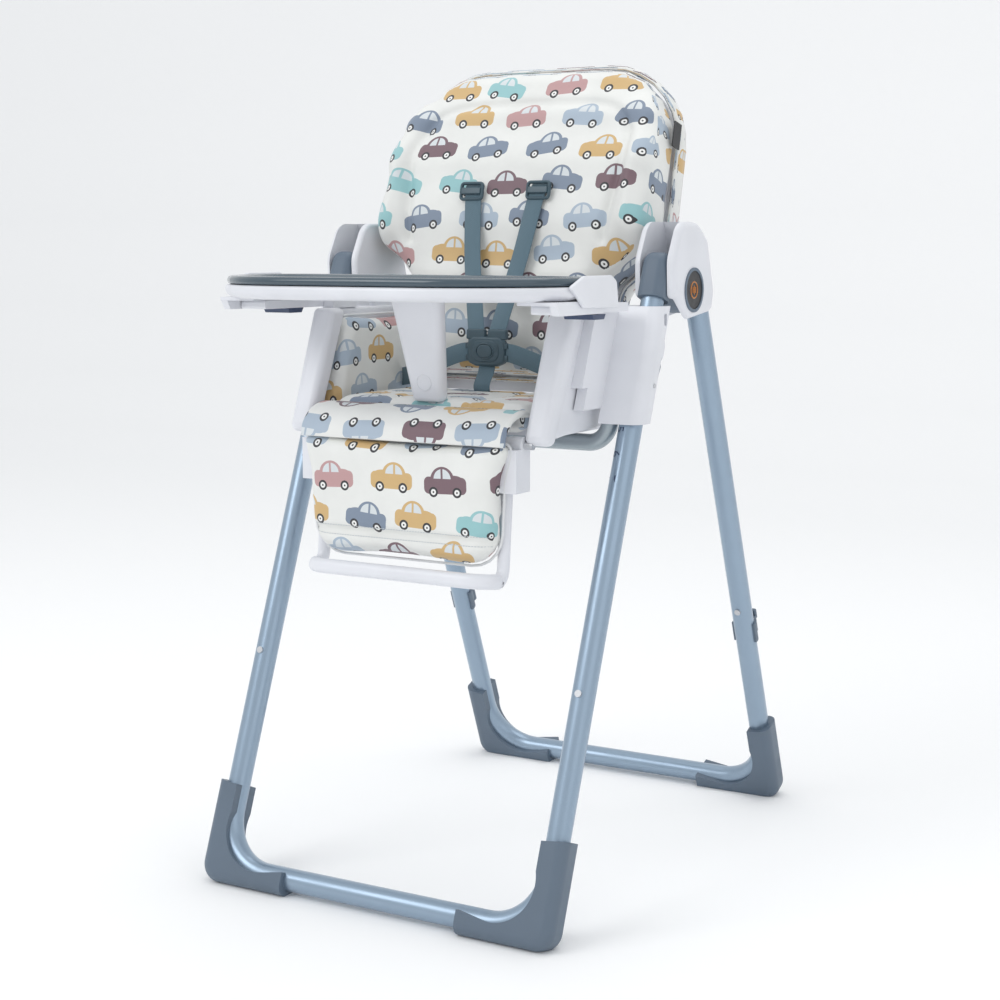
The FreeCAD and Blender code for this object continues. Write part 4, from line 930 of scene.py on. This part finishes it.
# ---------------------------------------------------------------- seat sides
WALL = [(-0.260, -0.182, 0.010), (-0.205, -0.176, 0.024), (0.024, -0.171, 0.02),
        (0.024, -0.026, 0.012), (-0.197, -0.026, 0.006)]
LIP = [(-0.262, -0.184, 0.010), (-0.234, -0.188, 0.010), (-0.166, -0.0255, 0.008),
       (-0.198, -0.0255, 0.008)]


def seat_sides():
    """Each side is a slightly bowed wall with a thick rounded lip along its front."""
    for name, side in SIDES:
        def put(a, b, h, side=side):
            bow = 0.006 * math.sin(math.pi * max(0, min(1, (a + 0.26) / 0.27)))
            return level(side * (h + bow * (h > 0.186)), a, b)

        wall = stack(WALL, rounded_rings(0.1803, 0.1905, 0.0045, 6), put)
        lip = stack(LIP, rounded_rings(0.1612, 0.1925, 0.0085, 6), put)
        piece = keep(f"seat_side_{name}", join(wall, lip), "seat", WHITE, f"side_shell_{name}",
                     sharp=40)


seat_sides()


# ---------------------------------------------------------------- footrest
def bend_path(spots, radii, steps=7):
    """Straight runs with a round bend at each inner spot."""
    spots = [Vector(s) for s in spots]
    points = [spots[0]]
    for before, spot, after, radius in zip(spots, spots[1:], spots[2:], radii):
        into, out = (before - spot).normalized(), (after - spot).normalized()
        half = into.angle(out) / 2
        centre = spot + (into + out).normalized() * radius / math.sin(half)
        start, stop = spot + into * radius / math.tan(half), spot + out * radius / math.tan(half)
        a, b = start - centre, stop - centre
        swing = a.angle(b)
        for k in range(steps + 1):
            t = k / steps
            points.append(centre + (a * math.sin((1 - t) * swing) + b * math.sin(t * swing))
                          / math.sin(swing))
    return points + [spots[-1]]


def footrest():
    """A bent bar, flattened where the feet rest, that slides in the calf rest."""
    slide = Vector(JOINTS["footrest_slide"]["axis"])
    deep = Vector((0, -slide.z, slide.y))

    def put(x, y, z):
        return CALF_HINGE + Vector((x, 0, 0)) + deep * y - slide * z

    half, drop = 0.136, 0.170
    arm = ((0.003, -0.014), (0.003, -drop), (-0.037, -drop))
    spots = [put(-half, y, z) for y, z in arm] + [put(half, y, z) for y, z in reversed(arm)]
    points = bend_path(spots, (0.014, 0.030, 0.030, 0.014))
    build = sweep(points, round_section(0.0080, 20), (0, 0.98, -0.2))
    for vertex in build.verts:
        local = vertex.co - CALF_HINGE
        if local.z < -0.150:
            vertex.co.z += (local.z + drop) * 0.22
    piece = keep("foot_bar", build, "footrest", WHITE, "footrest", sharp=60)


footrest()


# ---------------------------------------------------------------- cloth between seat and calf rest
def apron():
    """The cloth that rolls over the front of the seat, down to the calf rest."""
    spots = [level(0, y, z) for y, z in ((-0.222, -0.1500), (-0.246, -0.1490), (-0.268, -0.1560),
                                         (-0.283, -0.1700), (-0.2875, -0.1860))]
    build = sweep(smooth_path(spots, 6), flat_section(0.304, 0.009, 6), (1, 0, 0))
    piece = keep("seat_front_cloth", build, None, PRINT, sharp=80)
    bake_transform(piece)


apron()


# ---------------------------------------------------------------- piping and stitching
def piping(name, points, body):
    """A closed white cord sewn in along the edge of a cover."""
    build = sweep(points, round_section(0.0018, 8), (0.3, 0.5, 0.8), closed=True)
    piece = keep(name, build, body, PIPING, sharp=80)


def trims():
    """Two rows of stitches along the calf cover's seam; a spot that misses the cover is left out."""
    seam = [Vector((-0.13 + 0.26 * k / 30, 0, CALF_SEAM)) for k in range(31)]
    lines = []
    for rise in (-0.006, 0.006):
        starts = [CALF_HINGE + spot + Vector((0, -0.2, rise)) for spot in seam]
        spots = [surface(calf_cover, start, (0, 1, 0)) for start in starts]
        lines.append([spot - Vector((0, 0.0003, 0)) for spot in spots if spot.y > CALF_HINGE.y - 0.1])
    stitch("calf_stitches", lines, "calf_rest")


trims()


# ---------------------------------------------------------------- marks on the legs and hubs
LEG_AXIS = Vector(JOINTS["seat_height"]["axis"])
LEG_AHEAD = Vector((0, LEG_AXIS.z, -LEG_AXIS.y))
LEG_X, LEG_OFFSET, TUBE_RADIUS, MARK_RADIUS, MARK_TURN = 0.243, 0.0575, 0.015, 0.0152, -0.55


def numerals():
    """The height numbers 5, 6 and 7 on the front legs, wrapped round the tube."""
    for name, side in SIDES:
        marks = bmesh.new()
        for text, z in (("5", 0.604), ("6", 0.574), ("7", 0.544)):
            font = bpy.data.curves.new("mark", "FONT")
            font.body, font.size, font.align_x = text, 0.019, "CENTER"
            letter = bpy.data.objects.new("mark", font)
            bpy.context.scene.collection.objects.link(letter)
            mesh = baked(letter)
            bpy.data.objects.remove(letter)
            centre = leg_point(side, z)
            for vertex in mesh.vertices:
                x, up = vertex.co.y - 0.006, -vertex.co.x
                turn = x / TUBE_RADIUS + side * MARK_TURN
                vertex.co = (centre - LEG_AXIS * up + Vector((math.sin(turn) * MARK_RADIUS, 0, 0))
                             + LEG_AHEAD * math.cos(turn) * MARK_RADIUS)
            marks.from_mesh(mesh)
        mesh = bpy.data.meshes.new("marks")
        marks.to_mesh(mesh)
        marks.free()
        adopt(f"height_numbers_{name}", mesh, "frame", NAVY)


def leg_point(side, z):
    """The middle of a front leg's tube at a height."""
    top = PIVOT + LEG_AHEAD * LEG_OFFSET
    return Vector((side * LEG_X, 0, 0)) + top + LEG_AXIS * ((top.z - z) / -LEG_AXIS.z)


numerals()


# ---------------------------------------------------------------- cloth edges and badges
def cloth_rim():
    """The cover's band that turns round the edge of the backrest's shell."""
    rows = ((0.003, -0.004), (-0.0012, 0.0), (-0.0018, 0.012), (-0.0006, 0.0205), (0.004, 0.0225),
            (0.006, 0.0205), (0.006, -0.002))
    build = bmesh.new()
    loops = [[build.verts.new((*p, height)) for p in outline(BACK_OUTLINE, inset)]
             for inset, height in rows]
    for low, high in zip(loops, loops[1:] + loops[:1]):
        for i in range(len(low)):
            build.faces.new((low[i - 1], low[i], high[i], high[i - 1]))
    bmesh.ops.recalc_face_normals(build, faces=build.faces)
    mesh = bpy.data.meshes.new("back_rim")
    build.to_mesh(mesh)
    build.free()
    cover = mesh.uv_layers.new(name="cloth")
    normals = [v.normal.copy() for v in mesh.vertices]
    for loop in mesh.loops:
        spot, normal = mesh.vertices[loop.vertex_index].co, normals[loop.vertex_index]
        reach = 0.08 + spot.z
        cover.data[loop.index].uv = (spot.x + normal.x * reach, spot.y + normal.y * reach)
    for vertex in mesh.vertices:
        vertex.co = on_back(*vertex.co)
    mesh.polygons.foreach_set("use_smooth", [True] * len(mesh.polygons))
    piece = adopt("back_rim", mesh, "backrest", PRINT)


def edge_piping():
    """Piping round the calf cover and round both side covers."""
    calf = [(-0.157, 0.004, 0.012), (0.157, 0.004, 0.012), (0.144, -0.045, 0.02),
            (0.139, -0.152, 0.045), (-0.139, -0.152, 0.045), (-0.144, -0.045, 0.02)]
    piping("calf_piping", [CALF_HINGE + Vector((p.x, -0.0205, p.y)) for p in outline(calf, 0, 5)],
           "calf_rest")
    wall = outline([(-0.214, -0.164, 0.012), (0.018, -0.164, 0.012), (0.018, -0.036, 0.012),
                    (-0.170, -0.036, 0.02)], 0, 5)
    for name, side in SIDES:
        piping(f"side_piping_{name}", [level(side * 0.1745, p.x, p.y) for p in wall], "seat")


def badges():
    """A plain orange ring with three short ribs on each hub's black disc."""
    discs = nodes["badge_discs"]
    corners = [discs.matrix_world @ Vector(corner) for corner in discs.bound_box]
    low, high = (Vector(pick(c[k] for c in corners) for k in range(3)) for pick in (min, max))
    middle = (low + high) / 2
    for name, side in SIDES:
        face = side * high.x

        def put(a, b, face=face):
            return Vector((face, middle.y + a, middle.z + b))

        radius = 0.0105
        ring = [put(radius * math.cos(a), radius * math.sin(a))
                for a in (k * math.tau / 36 for k in range(36))]
        parts = [sweep(ring, round_section(0.0009, 8), (1, 0, 0), closed=True)]
        for k in (-1, 0, 1):
            half = 0.0058 if k == 0 else 0.0038
            parts.append(sweep([put(k * 0.0040, -half), put(k * 0.0040, 0), put(k * 0.0040, half)],
                               round_section(0.0009, 8), (1, 0, 0)))
        piece = keep(f"badge_ring_{name}", join(*parts), "rear_frame", ORANGE, sharp=60)


cloth_rim()
edge_piping()
badges()
